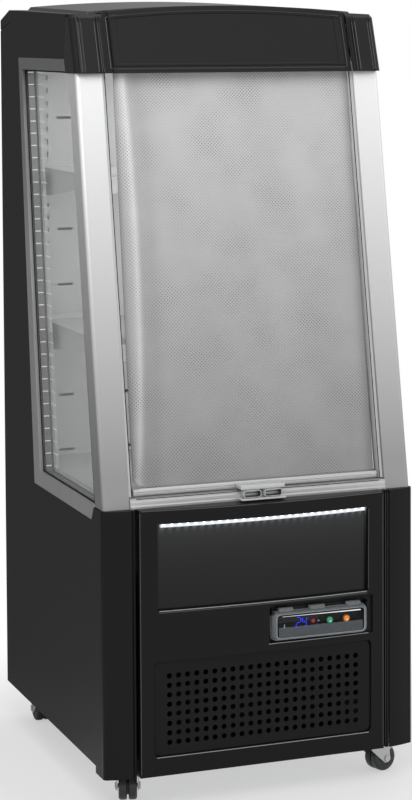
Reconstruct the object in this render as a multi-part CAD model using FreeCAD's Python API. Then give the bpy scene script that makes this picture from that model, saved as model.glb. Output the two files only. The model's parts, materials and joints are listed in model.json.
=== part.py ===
"""Open multideck display fridge with a lowered night blind, on four swivel castors.

Millimetres, +Z up, front towards -Y, +X to the right of someone facing the front.
The origin lies on the floor under the middle of the bounding box.
Each function returns one piece; main() writes each piece to its own file.
"""
import FreeCAD, Part
import math
import os

V = FreeCAD.Vector

# ---------------------------------------------------------------- overall sizes
WIDTH = 600.0               # over the side panels
BODY_DEPTH = 670.0          # flat foot of the front panel to the back
LEDGE_BOW = 17.0            # how far the ledge bows out ahead of that flat
HEIGHT = 1447.0             # floor to the crown of the roof
GROUND_GAP = 62.0           # floor to the front skirt
SIDE_GAP = 75.0             # floor to the side panels behind the skirt
LEDGE_HEIGHT = 543.0        # floor to the top of the lower body
POST_LEAN = 10.75           # front posts and blind, degrees from upright
SLIP = 0.3                  # gap between parts that are dropped into place
RUNNING = 0.05              # radial clearance of a pin or shaft in its hole

# ---------------------------------------------------------------- skins and walls
SHEET = 1.5                 # painted steel
RETURN = 14.0               # folded edge of the side panels
PLASTIC = 3.0               # moulded covers
WALL_GAP = 24.0             # foam between a side panel's fold and the inner face
BACK_FOAM = 55.0            # foam behind the air duct
FLOOR_FOAM = 30.0           # foam over the machine room
HEAD_FOAM = 28.0            # foam over the display space

# ---------------------------------------------------------------- roof and canopy
CROWN = 11.0                # arch across the roof and the fascia
ROOF_RISE = 12.0            # roof climbs this much from front to back
CANOPY_HEIGHT = 112.0
CANOPY_PROUD = 17.5         # canopy ahead of the posts at its lower edge
CANOPY_LEAN = 19.65         # degrees
CAP_WIDTH = 60.0            # corner cap, side face to inner edge
CAP_RADIUS = 18.0
CAP_DROP = 5.0              # cap tops below the canopy's end height
CAP_BEVEL = 7.0             # bevel round the cap's top edge
CAP_WRAP_FOOT = 70.5        # how far a cap wraps back along the side
CAP_WRAP_KINK = 79.5
CAP_WRAP_HEAD = 64.0
ROOF_STEP_IN = 24.0         # flat margin beside the raised roof
ROOF_STEP = 6.0             # height of that step
ROOF_TAIL = 68.0            # length of the slope at the back
ROOF_TAIL_DROP = 20.0
ROOF_FOLD = 4.0             # folded front edge of the roof, below its margin
FASCIA_WALL = 4.0
FASCIA_END = 11.5           # recessed rib beside each cap
FASCIA_END_DEPTH = 7.0
INSET_MARGIN = 14.0         # border round the fascia's sunk field
INSET_FOOT = 17.0
INSET_DEPTH = 2.0

# ---------------------------------------------------------------- posts and side windows
POST_SETBACK = 18.0         # post face behind the front panel's flat
POST_WIDTH = 50.0
POST_DEPTH = 46.0
POST_WALL = 2.5
POST_RADIUS = 7.0
POST_INTO_CAP = 18.0
WINDOW_DROP = 25.0          # window frame's foot below the ledge
WINDOW_OVER = 26.0          # window frame's head above the canopy's lower edge
WINDOW_FROM_BACK = 218.0    # window frame's rear foot from the back
WINDOW_REAR_LEAN = 6.05     # degrees
FRAME_DEPTH = 32.0
FRAME_SILL = 29.0
FRAME_HEAD = 23.0
FRAME_REAR_FOOT = 43.0
FRAME_REAR_HEAD = 21.0
GLASS_EDGE = 8.0            # glass held in the frame
GLASS_SETBACK = 8.0         # outer pane behind the frame's face
PANE = 4.0
PANE_GAP = 12.0
SPACER = 7.0

# ---------------------------------------------------------------- lower front
SEAM_HALF = 241.0           # half distance between the seams beside the front panel
SEAM = 5.0                  # open seam at the front panel's edge
CORNER_RADIUS = 9.0
CORNER_STEP = 4.0           # step beside the seam
CORNER_STEP_WIDTH = 8.0
PANEL_RETURN = 26.0         # depth of the front panel's folded edges
REVEAL = 2.5                # wall round each opening of the front panel
PROMO_HALF = 203.0
PROMO_FOOT = 361.0
PROMO_HEAD_DROP = 26.0      # head of the promo field below the ledge
PROMO_SUNK = 8.0
LED_HEIGHT = 6.0
GRILLE_HALF = 210.0
GRILLE_FOOT = 97.0
GRILLE_HEAD = 269.0
GRILLE_RADIUS = 9.0
GRILLE_SUNK = 2.0
GRILLE_SHEET = 2.0
HOLE_PITCH = 17.2
HOLE_RADIUS = 4.6           # each hole is a six-sided prism
HOLE_MARGIN = 28.0
HOLE_DROP = 2.0             # the field of holes sits this far below the middle
CONTROL_LEFT = 7.0
CONTROL_RIGHT = 213.0
CONTROL_FOOT = 283.0
CONTROL_HEAD = 353.0
CONTROL_SUNK = 3.0

# ---------------------------------------------------------------- controls
BEZEL_LEFT = 14.0
BEZEL_RIGHT = 196.0
BEZEL_FOOT = 286.0
BEZEL_HEAD = 345.0
BEZEL_FOOT_CUT = 4.0        # corners cut off the bezel and the cover
BEZEL_HEAD_CUT = 9.0
HOUSING_DEPTH = 30.0
COVER_DEPTH = 14.0
COVER_WALL = 2.0
COVER_TAPER = 5.0
HINGE_FORWARD = 9.0         # cover hinge ahead of the bezel
HINGE_DROP = 4.0            # cover hinge below the cover's top
HINGE_PIN = 2.0
BUTTON_RADIUS = 7.3
BUTTON_PROUD = 3.0
BUTTON_BODY = 12.0
BUTTON_TRAVEL = 2.0
BUTTON_COLLAR = 2.0         # square collar beyond the button, behind the bezel
GREEN_X = 127.0
ORANGE_X = 160.0
BUTTON_Z = 314.0
DISPLAY_LEFT = 28.0
DISPLAY_RIGHT = 108.0
DISPLAY_FOOT = 299.0
DISPLAY_HEAD = 329.0

# ---------------------------------------------------------------- display space
DECK_UP = 5.0               # base deck above the ledge
DECK_FRONT = 79.0           # front edge of the deck behind the front flat + setback
WELL_HALF = 240.0           # evaporator well under the deck
WELL_DEPTH = 97.0
WELL_FRONT = 64.5           # front wall of the well behind the front flat
DUCT_DEPTH = 50.0
DUCT_TOP_GAP = 26.0         # ceiling duct
HEAD_BACK = 128.5           # head's front face behind the canopy's lower edge
SLOT_WIDTH = 30.0           # air slots in the duct panel
SLOT_HEIGHT = 5.0
SLOT_ROW_PITCH = 110.0
SLOT_COLUMNS = 4
UPRIGHT_WIDTH = 30.0
UPRIGHT_DEPTH = 18.0
UPRIGHT_PITCH = 25.0
UPRIGHT_SLOT = 14.0
UPRIGHT_SLOT_HEIGHT = 9.0
UPRIGHT_UP = 10.0           # foot of the uprights above the base deck
SHELVES = 2
SHELF_SIDE_GAP = 12.0
SHELF_FRONT_GAP = 38.0      # shelf edge behind the blind
SHELF_LIP = 30.0
BRACKET_REAR = 58.0
BRACKET_FRONT = 16.0
BRACKET_SHEET = 2.0
RAIL_THICK = 4.0

# ---------------------------------------------------------------- night blind
BLIND_SETBACK = 14.0        # blind plane behind the post faces
BLIND_HALF = 233.0
ROLLER_RADIUS = 16.0
ROLLER_UP = 60.0            # roller above the canopy's lower edge
ROLLER_PIN = 5.0
FABRIC = 0.8
FOLD = 5.0                  # depth of the fabric's edge folds
FOLD_SPAN = 34.0
BAR_HEIGHT = 12.0
BAR_DEPTH = 12.0
SILL_HEIGHT = 18.0
SILL_DEPTH = 28.0
SILL_FORWARD = 3.0          # sill ahead of the post faces
HANDLE_HALF = 43.0
HANDLE_SHEET = 2.5
HANDLE_REACH = 14.0         # lips ahead of the web
HANDLE_RIB = 6.0

# ---------------------------------------------------------------- cooling unit
FAN_RADIUS = 84.0
FAN_BLADES = 5
EVAPORATOR_FAN_RADIUS = 39.0
FIN_PITCH = 20.0            # grooves that stand for the gaps between fins
CONDENSER_WIDTH = 330.0
CONDENSER_HEIGHT = 205.0
CONDENSER_DEPTH = 48.0
COMPRESSOR_RADIUS = 72.0
COMPRESSOR_HEIGHT = 170.0
GLAND_RADIUS = 10.0
GLAND_X = 215.0
GLAND_Z = 150.0

# ---------------------------------------------------------------- castors
CASTOR_IN_X = 60.0          # kingpin in from the side face
CASTOR_IN_Y = 64.5          # kingpin in from the front flat, and from the back
WHEEL_RADIUS = 25.0
WHEEL_WIDTH = 34.0
WHEEL_SIDES = 24
TRAIL = 20.0
BRAKE_FORWARD = 17.0        # pedal hinge beyond the axle
BRAKE_UP = 24.0             # pedal hinge above the axle
BRAKE_PIN = 2.0
AXLE_RADIUS = 4.0
KINGPIN_RADIUS = 5.0
FORK_SHEET = 2.5
CASTOR_TURN = {"front_left": 72.5, "front_right": 17.0, "rear_left": 90.0, "rear_right": 90.0}

# ---------------------------------------------------------------- worked-out places
HALF = WIDTH / 2
FRONT = -(BODY_DEPTH + LEDGE_BOW) / 2 + LEDGE_BOW
BACK = FRONT + BODY_DEPTH
TRAY_BASE = GROUND_GAP + 4.0
INNER_HALF = HALF - RETURN - WALL_GAP
FOLD_HALF = HALF - RETURN - SLIP
CANOPY_TOP = HEIGHT - ROOF_RISE - CROWN
CANOPY_FOOT = CANOPY_TOP - CANOPY_HEIGHT
CAP_TOP = CANOPY_TOP - CAP_DROP
WINDOW_FOOT = LEDGE_HEIGHT - WINDOW_DROP
WINDOW_HEAD = CANOPY_FOOT + WINDOW_OVER
DECK_TOP = LEDGE_HEIGHT + DECK_UP
WELL_FLOOR = DECK_TOP - SHEET - WELL_DEPTH
LINER_FRONT = FRONT + PANEL_RETURN + 1.0
DUCT_FRONT = BACK - 2.0 - BACK_FOAM - DUCT_DEPTH
PANEL_HALF = SEAM_HALF - SEAM
PROMO_HEAD = LEDGE_HEIGHT - PROMO_HEAD_DROP
LEAN = math.tan(math.radians(POST_LEAN))
CAP_INNER = HALF - CAP_WIDTH
SHELF_GAP = UPRIGHT_PITCH * math.floor((CANOPY_FOOT - DECK_TOP) / (SHELVES + 0.5) / UPRIGHT_PITCH)


def post_face(z):
    """Y of the posts' front face at height z."""
    return FRONT + POST_SETBACK + (z - LEDGE_HEIGHT) * LEAN


def blind_plane(z):
    """Y of the middle of the blind's cloth at height z."""
    return post_face(z) + BLIND_SETBACK


def canopy_face(z):
    """Y of the canopy's front face at height z."""
    foot = post_face(CANOPY_FOOT) - CANOPY_PROUD
    return foot + (z - CANOPY_FOOT) * math.tan(math.radians(CANOPY_LEAN))


HEAD_FRONT = canopy_face(CANOPY_FOOT) + HEAD_BACK


# ---------------------------------------------------------------- shape helpers
def box(x0, x1, y0, y1, z0, z1):
    """Block between two corners."""
    return Part.makeBox(x1 - x0, y1 - y0, z1 - z0, V(x0, y0, z0))


def closed_face(points):
    """Flat face inside a polygon."""
    return Part.Face(Part.makePolygon(list(points) + [points[0]]))


def side_prism(points, x0, x1):
    """Outline of (y, z) points carried from x0 to x1."""
    return closed_face([V(x0, y, z) for y, z in points]).extrude(V(x1 - x0, 0, 0))


def plan_prism(points, z0, z1):
    """Outline of (x, y) points carried from z0 to z1."""
    return closed_face([V(x, y, z0) for x, y in points]).extrude(V(0, 0, z1 - z0))


def front_prism(points, y0, y1):
    """Outline of (x, z) points carried from y0 to y1."""
    return closed_face([V(x, y0, z) for x, z in points]).extrude(V(0, y1 - y0, 0))


def rounded_wire(x0, x1, z0, z1, radius, y):
    """Rectangle with round corners, standing in the plane of the front."""
    side = radius * (1 - math.sqrt(0.5))
    edges = [Part.makeLine(V(x0 + radius, y, z0), V(x1 - radius, y, z0)),
             Part.Arc(V(x1 - radius, y, z0), V(x1 - side, y, z0 + side), V(x1, y, z0 + radius)).toShape(),
             Part.makeLine(V(x1, y, z0 + radius), V(x1, y, z1 - radius)),
             Part.Arc(V(x1, y, z1 - radius), V(x1 - side, y, z1 - side), V(x1 - radius, y, z1)).toShape(),
             Part.makeLine(V(x1 - radius, y, z1), V(x0 + radius, y, z1)),
             Part.Arc(V(x0 + radius, y, z1), V(x0 + side, y, z1 - side), V(x0, y, z1 - radius)).toShape(),
             Part.makeLine(V(x0, y, z1 - radius), V(x0, y, z0 + radius)),
             Part.Arc(V(x0, y, z0 + radius), V(x0 + side, y, z0 + side), V(x0 + radius, y, z0)).toShape()]
    return Part.Wire(edges)


def chamfered(x0, x1, z0, z1, foot, head):
    """Points (x, z) of a rectangle with its lower and upper corners cut off."""
    return [(x0 + foot, z0), (x1 - foot, z0), (x1, z0 + foot), (x1, z1 - head),
            (x1 - head, z1), (x0 + head, z1), (x0, z1 - head), (x0, z0 + foot)]


def polygon(radius, sides):
    """Corners (a, b) of a regular polygon round the origin."""
    steps = [2 * math.pi * k / sides for k in range(sides)]
    return [(radius * math.cos(turn), radius * math.sin(turn)) for turn in steps]


def stacked(rings):
    """Solid with flat sides through outlines of equally many points, first to last."""
    faces = [closed_face(rings[0]), closed_face(rings[-1])]
    for low, high in zip(rings, rings[1:]):
        for k, corner in enumerate(low):
            after = (k + 1) % len(low)
            faces.append(closed_face([corner, low[after], high[after], high[k]]))
    shell = Part.makeShell(faces)
    shell.sewShape()
    solid = Part.makeSolid(shell)
    if solid.Volume < 0:
        solid.reverse()
    return solid


def barrel(radius, sides, x, z, y0, y1):
    """Many-sided bar that runs from front to back."""
    return front_prism([(x + a, z + b) for a, b in polygon(radius, sides)], y0, y1)


def rounded_block(x0, x1, y0, y1, z0, z1, radius):
    """Block whose front view is a rectangle with round corners."""
    return Part.Face(rounded_wire(x0, x1, z0, z1, radius, y0)).extrude(V(0, y1 - y0, 0))


def rod(radius, start, end):
    """Round bar between two points."""
    start = V(*start)
    run = V(*end) - start
    return Part.makeCylinder(radius, run.Length, start, run)


def joined(shapes):
    """One solid from shapes that touch or overlap."""
    return shapes[0].multiFuse(shapes[1:]).removeSplitter()


def less(shape, tools):
    """Shape with every tool taken out."""
    return shape.cut(list(tools)) if tools else shape


def other_side(shape):
    """Mirror image on the other side of the middle."""
    return shape.mirror(V(0, 0, 0), V(1, 0, 0))


def spun(points, centre, axis):
    """Outline of (radius, height) points turned round an axis."""
    face = closed_face([V(r, 0, h) for r, h in points])
    solid = face.revolve(V(0, 0, 0), V(0, 0, 1), 360)
    solid.Placement = FreeCAD.Placement(V(*centre), FreeCAD.Rotation(V(0, 0, 1), V(*axis)))
    return solid


# ---------------------------------------------------------------- sheet metal body
def base_tray():
    """Folded steel tray that carries the cooling unit and the castors."""
    y0 = FRONT + PANEL_RETURN
    y1 = BACK - SHEET - SLIP
    height = 26.0
    tray = box(-FOLD_HALF, FOLD_HALF, y0, y1, TRAY_BASE, TRAY_BASE + height)
    hollow = box(-FOLD_HALF + 2, FOLD_HALF - 2, y0 + 2, y1 - 2, TRAY_BASE + 2, TRAY_BASE + height + 1)
    vents = [box(-120 + 50 * i, -95 + 50 * i, -60, 60, TRAY_BASE - 1, TRAY_BASE + 3) for i in range(5)]
    return less(tray, [hollow] + vents)


def window_rear(z):
    """Y of the window frame's rear edge at height z."""
    lean = math.tan(math.radians(WINDOW_REAR_LEAN))
    return BACK - WINDOW_FROM_BACK + (z - WINDOW_FOOT) * lean


def window_front(z):
    """Y where the side glass meets the back of the post."""
    return post_face(z) + POST_DEPTH + SLIP


def cap_rear():
    """Rear outline of a canopy cap, as (y, z) from foot to head."""
    foot = canopy_face(CANOPY_FOOT)
    return [(foot + CAP_WRAP_FOOT, CANOPY_FOOT), (foot + CAP_WRAP_KINK, WINDOW_HEAD),
            (foot + CAP_WRAP_HEAD, CAP_TOP)]


def side_panel(sign):
    """Painted side sheet with folded edges, cut away for the leaning window."""
    front = FRONT + POST_SETBACK + CORNER_RADIUS + SLIP
    post_back = FRONT + POST_SETBACK + POST_DEPTH
    cap = cap_rear()
    tail = BACK - ROOF_TAIL
    rear_top = CAP_TOP + ROOF_RISE - 1.0
    outline = [(BACK, SIDE_GAP), (post_back, SIDE_GAP), (post_back, GROUND_GAP), (front, GROUND_GAP),
               (front, LEDGE_HEIGHT - 1.0), (post_back, LEDGE_HEIGHT - 1.0),
               (post_back + 15, WINDOW_FOOT), (window_rear(WINDOW_FOOT), WINDOW_FOOT),
               (window_rear(WINDOW_HEAD), WINDOW_HEAD), (cap[1][0] + SLIP, WINDOW_HEAD),
               (cap[2][0] + SLIP, CAP_TOP), (tail, rear_top), (BACK, rear_top - ROOF_TAIL_DROP)]
    outer = Part.makePolygon([V(HALF, y, z) for y, z in outline + outline[:1]])
    pan = Part.Face(outer).extrude(V(-RETURN, 0, 0))
    inside = outer.makeOffset2D(-SHEET)
    inside.translate(V(-SHEET, 0, 0))
    pan = pan.cut(Part.Face(inside).extrude(V(-RETURN, 0, 0)))
    pan = pan.cut(box(HALF - RETURN - 1, HALF - SHEET, front - 1, post_back, GROUND_GAP - 1, LEDGE_HEIGHT))
    slit = [(BACK + 1, rear_top - 42), (tail - 3, rear_top - 27), (tail - 3, rear_top - 24),
            (BACK + 1, rear_top - 38)]
    pan = pan.cut(side_prism(slit, HALF - 1.0, HALF + 1.0))
    return pan if sign > 0 else other_side(pan)


def rear_panel():
    """Flat back sheet with two banks of slots for the machine room."""
    top = CAP_TOP + ROOF_RISE - 1.0 - ROOF_TAIL_DROP - SHEET - SLIP
    sheet = box(-FOLD_HALF, FOLD_HALF, BACK - SHEET, BACK, SIDE_GAP, top)
    slots = []
    for row in range(11):
        z = TRAY_BASE + 60 + 24 * row
        for x in (-230, -70):
            slots.append(box(x, x + 130, BACK - 3, BACK + 1, z, z + 8))
    gland = barrel(GLAND_RADIUS + 0.2, 16, GLAND_X, GLAND_Z, BACK - 3, BACK + 1)
    return less(sheet, slots + [gland])


def roof_section(y, edge, crown_z, thickness):
    """Cross-section of the roof sheet at y: flat margins, a step and an arch."""
    flat = FOLD_HALF
    inner = FOLD_HALF - ROOF_STEP_IN
    top = edge + ROOF_STEP
    slope = 5.0

    def line_up(drop):
        return [V(-flat, y, edge - drop), V(-inner, y, edge - drop), V(-inner + slope, y, top - drop),
                V(0, y, crown_z - drop), V(inner - slope, y, top - drop), V(inner, y, edge - drop),
                V(flat, y, edge - drop)]
    a = line_up(0)
    b = line_up(thickness)
    edges = [Part.makeLine(a[0], a[1]), Part.makeLine(a[1], a[2]), Part.Arc(a[2], a[3], a[4]).toShape(),
             Part.makeLine(a[4], a[5]), Part.makeLine(a[5], a[6]), Part.makeLine(a[6], b[6]),
             Part.makeLine(b[6], b[5]), Part.makeLine(b[5], b[4]), Part.Arc(b[4], b[3], b[2]).toShape(),
             Part.makeLine(b[2], b[1]), Part.makeLine(b[1], b[0]), Part.makeLine(b[0], a[0])]
    return Part.Wire(edges)


def roof_panel():
    """Arched roof sheet that climbs to the back and folds down at its tail."""
    margin = CAP_TOP - 1.0
    y0 = canopy_face(CANOPY_FOOT) + CAP_WRAP_HEAD + 4 * SLIP
    tail = BACK - ROOF_TAIL
    front = roof_section(y0, margin, CANOPY_TOP + CROWN, SHEET)
    rear = roof_section(tail, margin + ROOF_RISE, HEIGHT, SHEET)
    end = roof_section(BACK, margin + ROOF_RISE - ROOF_TAIL_DROP, HEIGHT - ROOF_TAIL_DROP, SHEET)
    main_part = Part.makeLoft([front, rear], True, True)
    tail_part = Part.makeLoft([rear, end], True, True)
    return joined([main_part, tail_part, roof_front_fold(y0, margin)])


def roof_front_fold(y0, margin):
    """Edge folded down at the roof's front, behind the canopy."""
    flat = FOLD_HALF
    inner = FOLD_HALF - ROOF_STEP_IN
    slope = 5.0
    foot = margin - ROOF_FOLD
    top = margin + ROOF_STEP
    half = inner - slope
    edges = [Part.makeLine(V(-flat, y0, foot), V(-flat, y0, margin)),
             Part.makeLine(V(-flat, y0, margin), V(-inner, y0, margin)),
             Part.makeLine(V(-inner, y0, margin), V(-half, y0, top)),
             Part.Arc(V(-half, y0, top), V(0, y0, CANOPY_TOP + CROWN), V(half, y0, top)).toShape(),
             Part.makeLine(V(half, y0, top), V(inner, y0, margin)),
             Part.makeLine(V(inner, y0, margin), V(flat, y0, margin)),
             Part.makeLine(V(flat, y0, margin), V(flat, y0, foot)),
             Part.makeLine(V(flat, y0, foot), V(-flat, y0, foot))]
    return Part.Face(Part.Wire(edges)).extrude(V(0, SHEET, 0))


# ---------------------------------------------------------------- insulated tub
def liner():
    """Foam-filled tub: back, floor with its well, head, and the sides behind the windows."""
    foot = WELL_FLOOR - FLOOR_FOAM
    head = LEDGE_HEIGHT + (CANOPY_TOP - LEDGE_HEIGHT) - 24.0
    ceiling = head - HEAD_FOAM
    back = BACK - 2.0
    rim = DECK_TOP - SHEET
    tub = box(-FOLD_HALF, FOLD_HALF, LINER_FRONT, back, foot, head)
    duct_back = back - BACK_FOAM
    well_front = FRONT + WELL_FRONT
    tools = [box(-INNER_HALF, INNER_HALF, well_front, duct_back, rim, ceiling),
             box(-WELL_HALF, WELL_HALF, well_front, duct_back, WELL_FLOOR, rim + 1),
             box(-HALF, HALF, LINER_FRONT - 1, well_front + 1.5, LEDGE_HEIGHT - SLIP, head + 1)]
    lintel = WINDOW_HEAD - FRAME_HEAD
    tools.append(box(-HALF, HALF, LINER_FRONT - 1, HEAD_FRONT, lintel, head + 1))
    corner_back = FRONT + POST_SETBACK + POST_DEPTH - 2.0 + SLIP
    for x0, x1 in ((-HALF, -SEAM_HALF), (SEAM_HALF, HALF)):
        tools.append(box(x0, x1, LINER_FRONT - 1, corner_back, foot - 1, head + 1))
    window = [(LINER_FRONT - 1, WINDOW_FOOT - SLIP), (window_rear(WINDOW_FOOT) + SLIP, WINDOW_FOOT - SLIP),
              (window_rear(WINDOW_HEAD) + SLIP, WINDOW_HEAD + SLIP), (LINER_FRONT - 1, WINDOW_HEAD + SLIP)]
    for side in (-1, 1):
        inner = side * (HALF - FRAME_DEPTH - SLIP)
        tools.append(side_prism(window, inner, side * (HALF + 1)))
    opening = [(LINER_FRONT - 1, rim), (window_rear(rim) - FRAME_REAR_FOOT, rim),
               (window_rear(WINDOW_HEAD) - FRAME_REAR_HEAD, WINDOW_HEAD - FRAME_HEAD),
               (LINER_FRONT - 1, WINDOW_HEAD - FRAME_HEAD)]
    tools.append(side_prism(opening, -HALF, HALF))
    return less(tub, tools)


def slot_rows():
    """Heights of the rows of air slots in the duct panel."""
    first = DECK_TOP + 8.0
    count = int((WINDOW_HEAD - 60.0 - first) // SLOT_ROW_PITCH) + 1
    return [first + SLOT_ROW_PITCH * i for i in range(count)]


def duct_panel():
    """White inner sheet: slotted back wall that folds forward as the ceiling."""
    half = INNER_HALF - SLIP
    ceiling = ceiling_height()
    wall = box(-half, half, DUCT_FRONT, DUCT_FRONT + SHEET, DECK_TOP, ceiling + SHEET)
    top = box(-half, half, HEAD_FRONT, DUCT_FRONT + SHEET, ceiling, ceiling + SHEET)
    sheet = joined([wall, top])
    slots = []
    span = 2 * (INNER_HALF - UPRIGHT_WIDTH) - 60.0
    for z in slot_rows():
        for i in range(SLOT_COLUMNS):
            x = -span / 2 + span * i / (SLOT_COLUMNS - 1)
            slots.append(box(x - SLOT_WIDTH / 2, x + SLOT_WIDTH / 2, DUCT_FRONT - 1, DUCT_FRONT + SHEET + 1,
                             z, z + SLOT_HEIGHT))
    return less(sheet, slots)


def ceiling_height():
    """Underside of the display ceiling."""
    head = CANOPY_TOP - 24.0
    return head - HEAD_FOAM - DUCT_TOP_GAP


def deck_plate():
    """White base deck over the evaporator, folded down at its front."""
    half = INNER_HALF - SLIP
    front = FRONT + POST_SETBACK + DECK_FRONT + 8.0
    top = box(-half, half, front, DUCT_FRONT - SLIP, DECK_TOP - SHEET, DECK_TOP)
    lip = box(-WELL_HALF + 2, WELL_HALF - 2, front, front + SHEET, DECK_TOP - 16, DECK_TOP)
    return joined([top, lip])


def return_grille():
    """Slotted plate at the front of the deck where air goes back down."""
    half = HALF - PLASTIC - POST_WIDTH - SLIP
    y0 = sill_back() + SLIP
    y1 = FRONT + POST_SETBACK + DECK_FRONT + 8.0 - SLIP
    plate = box(-half, half, y0, y1, DECK_TOP - SHEET, DECK_TOP)
    foot = box(-half, half, y0, y0 + SHEET, LEDGE_HEIGHT, DECK_TOP)
    slots = []
    count = int(2 * half // 24) - 1
    for i in range(count):
        x = (i - (count - 1) / 2) * 24.0
        slots.append(box(x - 4, x + 4, y0 + 10, y1 - 8, DECK_TOP - 3, DECK_TOP + 1))
    return less(joined([plate, foot]), slots)


def air_outlet():
    """Slotted outlet under the canopy that throws the air curtain."""
    z0 = ceiling_height() + SHEET - 13.0
    y1 = HEAD_FRONT - SLIP
    y0 = y1 - 66.0
    half = BLIND_HALF + 4.0
    plate = box(-half, half, y0, y1, z0, z0 + 13.0)
    slots = []
    count = int(2 * half // 26) - 1
    for i in range(count):
        x = (i - (count - 1) / 2) * 26.0
        slots.append(box(x - 10, x + 10, y0 + 5, y1 - 5, z0 - 1, z0 + 14))
    return less(plate, slots)


# ---------------------------------------------------------------- side windows
def window_outline(edge_rear_foot, edge_rear_head, sill, head, front_gap):
    """Four corners (y, z) of a window shape drawn in from the frame's outer edge."""
    z0 = WINDOW_FOOT + sill
    z1 = WINDOW_HEAD - head
    return [(window_rear(z0) - edge_rear_foot, z0), (window_rear(z1) - edge_rear_head, z1),
            (window_front(z1) + front_gap, z1), (window_front(z0) + front_gap, z0)]


def glass_outline(inset):
    """Corners of the glazing unit, drawn in by inset."""
    edge = GLASS_EDGE - inset
    return window_outline(FRAME_REAR_FOOT - edge, FRAME_REAR_HEAD - edge, FRAME_SILL - edge,
                          FRAME_HEAD - edge, inset)


def foot_corner(clear):
    """Wedge in front of the window's foot, where the side sheet and the post meet."""
    post_back = FRONT + POST_SETBACK + POST_DEPTH
    outline = [(post_back - 60, WINDOW_FOOT - 5), (post_back + 15 + clear, WINDOW_FOOT - 5),
               (post_back + 15 + clear, WINDOW_FOOT), (post_back + clear, LEDGE_HEIGHT - 1),
               (post_back + clear, LEDGE_HEIGHT + SLIP), (post_back - 60, LEDGE_HEIGHT + SLIP)]
    return side_prism(outline, HALF - FRAME_DEPTH - 5, HALF + 1)


def window_frame(sign):
    """Aluminium frame on three sides of the glass; the post closes the fourth."""
    cap = cap_rear()
    front_foot = FRONT + POST_SETBACK + POST_DEPTH + 15
    outer = [(window_rear(WINDOW_FOOT) - SLIP, WINDOW_FOOT + SLIP),
             (window_rear(WINDOW_HEAD) - SLIP, WINDOW_HEAD - SLIP),
             (cap[1][0] + SLIP, WINDOW_HEAD - SLIP), (cap[0][0] + SLIP, CANOPY_FOOT),
             (cap[0][0] - 60, CANOPY_FOOT - 300), (front_foot - 30, WINDOW_FOOT + 40),
             (front_foot - 15, WINDOW_FOOT + SLIP)]
    body = side_prism(outer, HALF - FRAME_DEPTH, HALF)
    hole = window_outline(FRAME_REAR_FOOT, FRAME_REAR_HEAD, FRAME_SILL, FRAME_HEAD, -80.0)
    groove = glass_outline(-SLIP)
    groove = groove[:2] + [(y - 80.0, z) for y, z in groove[2:]]
    slot_out = HALF - GLASS_SETBACK + SLIP
    slot_in = HALF - GLASS_SETBACK - 2 * PANE - PANE_GAP - SLIP
    post_zone = [(post_face(z) + POST_DEPTH + SLIP, z) for z in (WINDOW_FOOT, WINDOW_HEAD)]
    post_zone += [(y - 200.0, z) for y, z in reversed(post_zone)]
    body = less(body, [side_prism(hole, HALF - FRAME_DEPTH - 1, HALF + 1),
                       side_prism(groove, slot_in, slot_out),
                       side_prism(post_zone, HALF - FRAME_DEPTH - 1, HALF + 1), foot_corner(SLIP)])
    return body if sign > 0 else other_side(body)


def side_glass(sign):
    """Two panes of the sealed unit."""
    outline = glass_outline(0.0)
    outer = HALF - GLASS_SETBACK
    inner = outer - PANE - PANE_GAP
    panes = [side_prism(outline, x - PANE, x).cut(foot_corner(1.0)) for x in (outer, inner)]
    unit = Part.makeCompound(panes)
    return unit if sign > 0 else other_side(unit)


def glazing_spacers():
    """Metal spacer bars that keep the panes apart, one loop on each side."""
    x1 = HALF - GLASS_SETBACK - PANE
    loop = side_prism(glass_outline(0.5), x1 - PANE_GAP, x1)
    loop = loop.cut(side_prism(glass_outline(0.5 + SPACER), x1 - PANE_GAP - 1, x1 + 1))
    loop = loop.cut(foot_corner(1.5))
    return Part.makeCompound([loop, other_side(loop)])


def front_post(sign):
    """Hollow aluminium post with a round outer corner, leaning with the front."""
    x1 = HALF - PLASTIC
    x0 = x1 - POST_WIDTH
    y0 = FRONT + POST_SETBACK
    y1 = y0 + POST_DEPTH
    rise = CANOPY_FOOT + POST_INTO_CAP - LEDGE_HEIGHT
    run = V(0, rise * LEAN, rise)

    def tube(inset, radius):
        a, b, c, d = x0 + inset, x1 - inset, y0 + inset, y1 - inset
        side = radius * (1 - math.sqrt(0.5))
        z = LEDGE_HEIGHT
        edges = [Part.makeLine(V(a, d, z), V(a, c, z)), Part.makeLine(V(a, c, z), V(b - radius, c, z)),
                 Part.Arc(V(b - radius, c, z), V(b - side, c + side, z), V(b, c + radius, z)).toShape(),
                 Part.makeLine(V(b, c + radius, z), V(b, d, z)), Part.makeLine(V(b, d, z), V(a, d, z))]
        return Part.Face(Part.Wire(edges)).extrude(run)
    post = tube(0.0, POST_RADIUS).cut(tube(POST_WALL, POST_RADIUS - POST_WALL))
    return post if sign > 0 else other_side(post)


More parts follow.
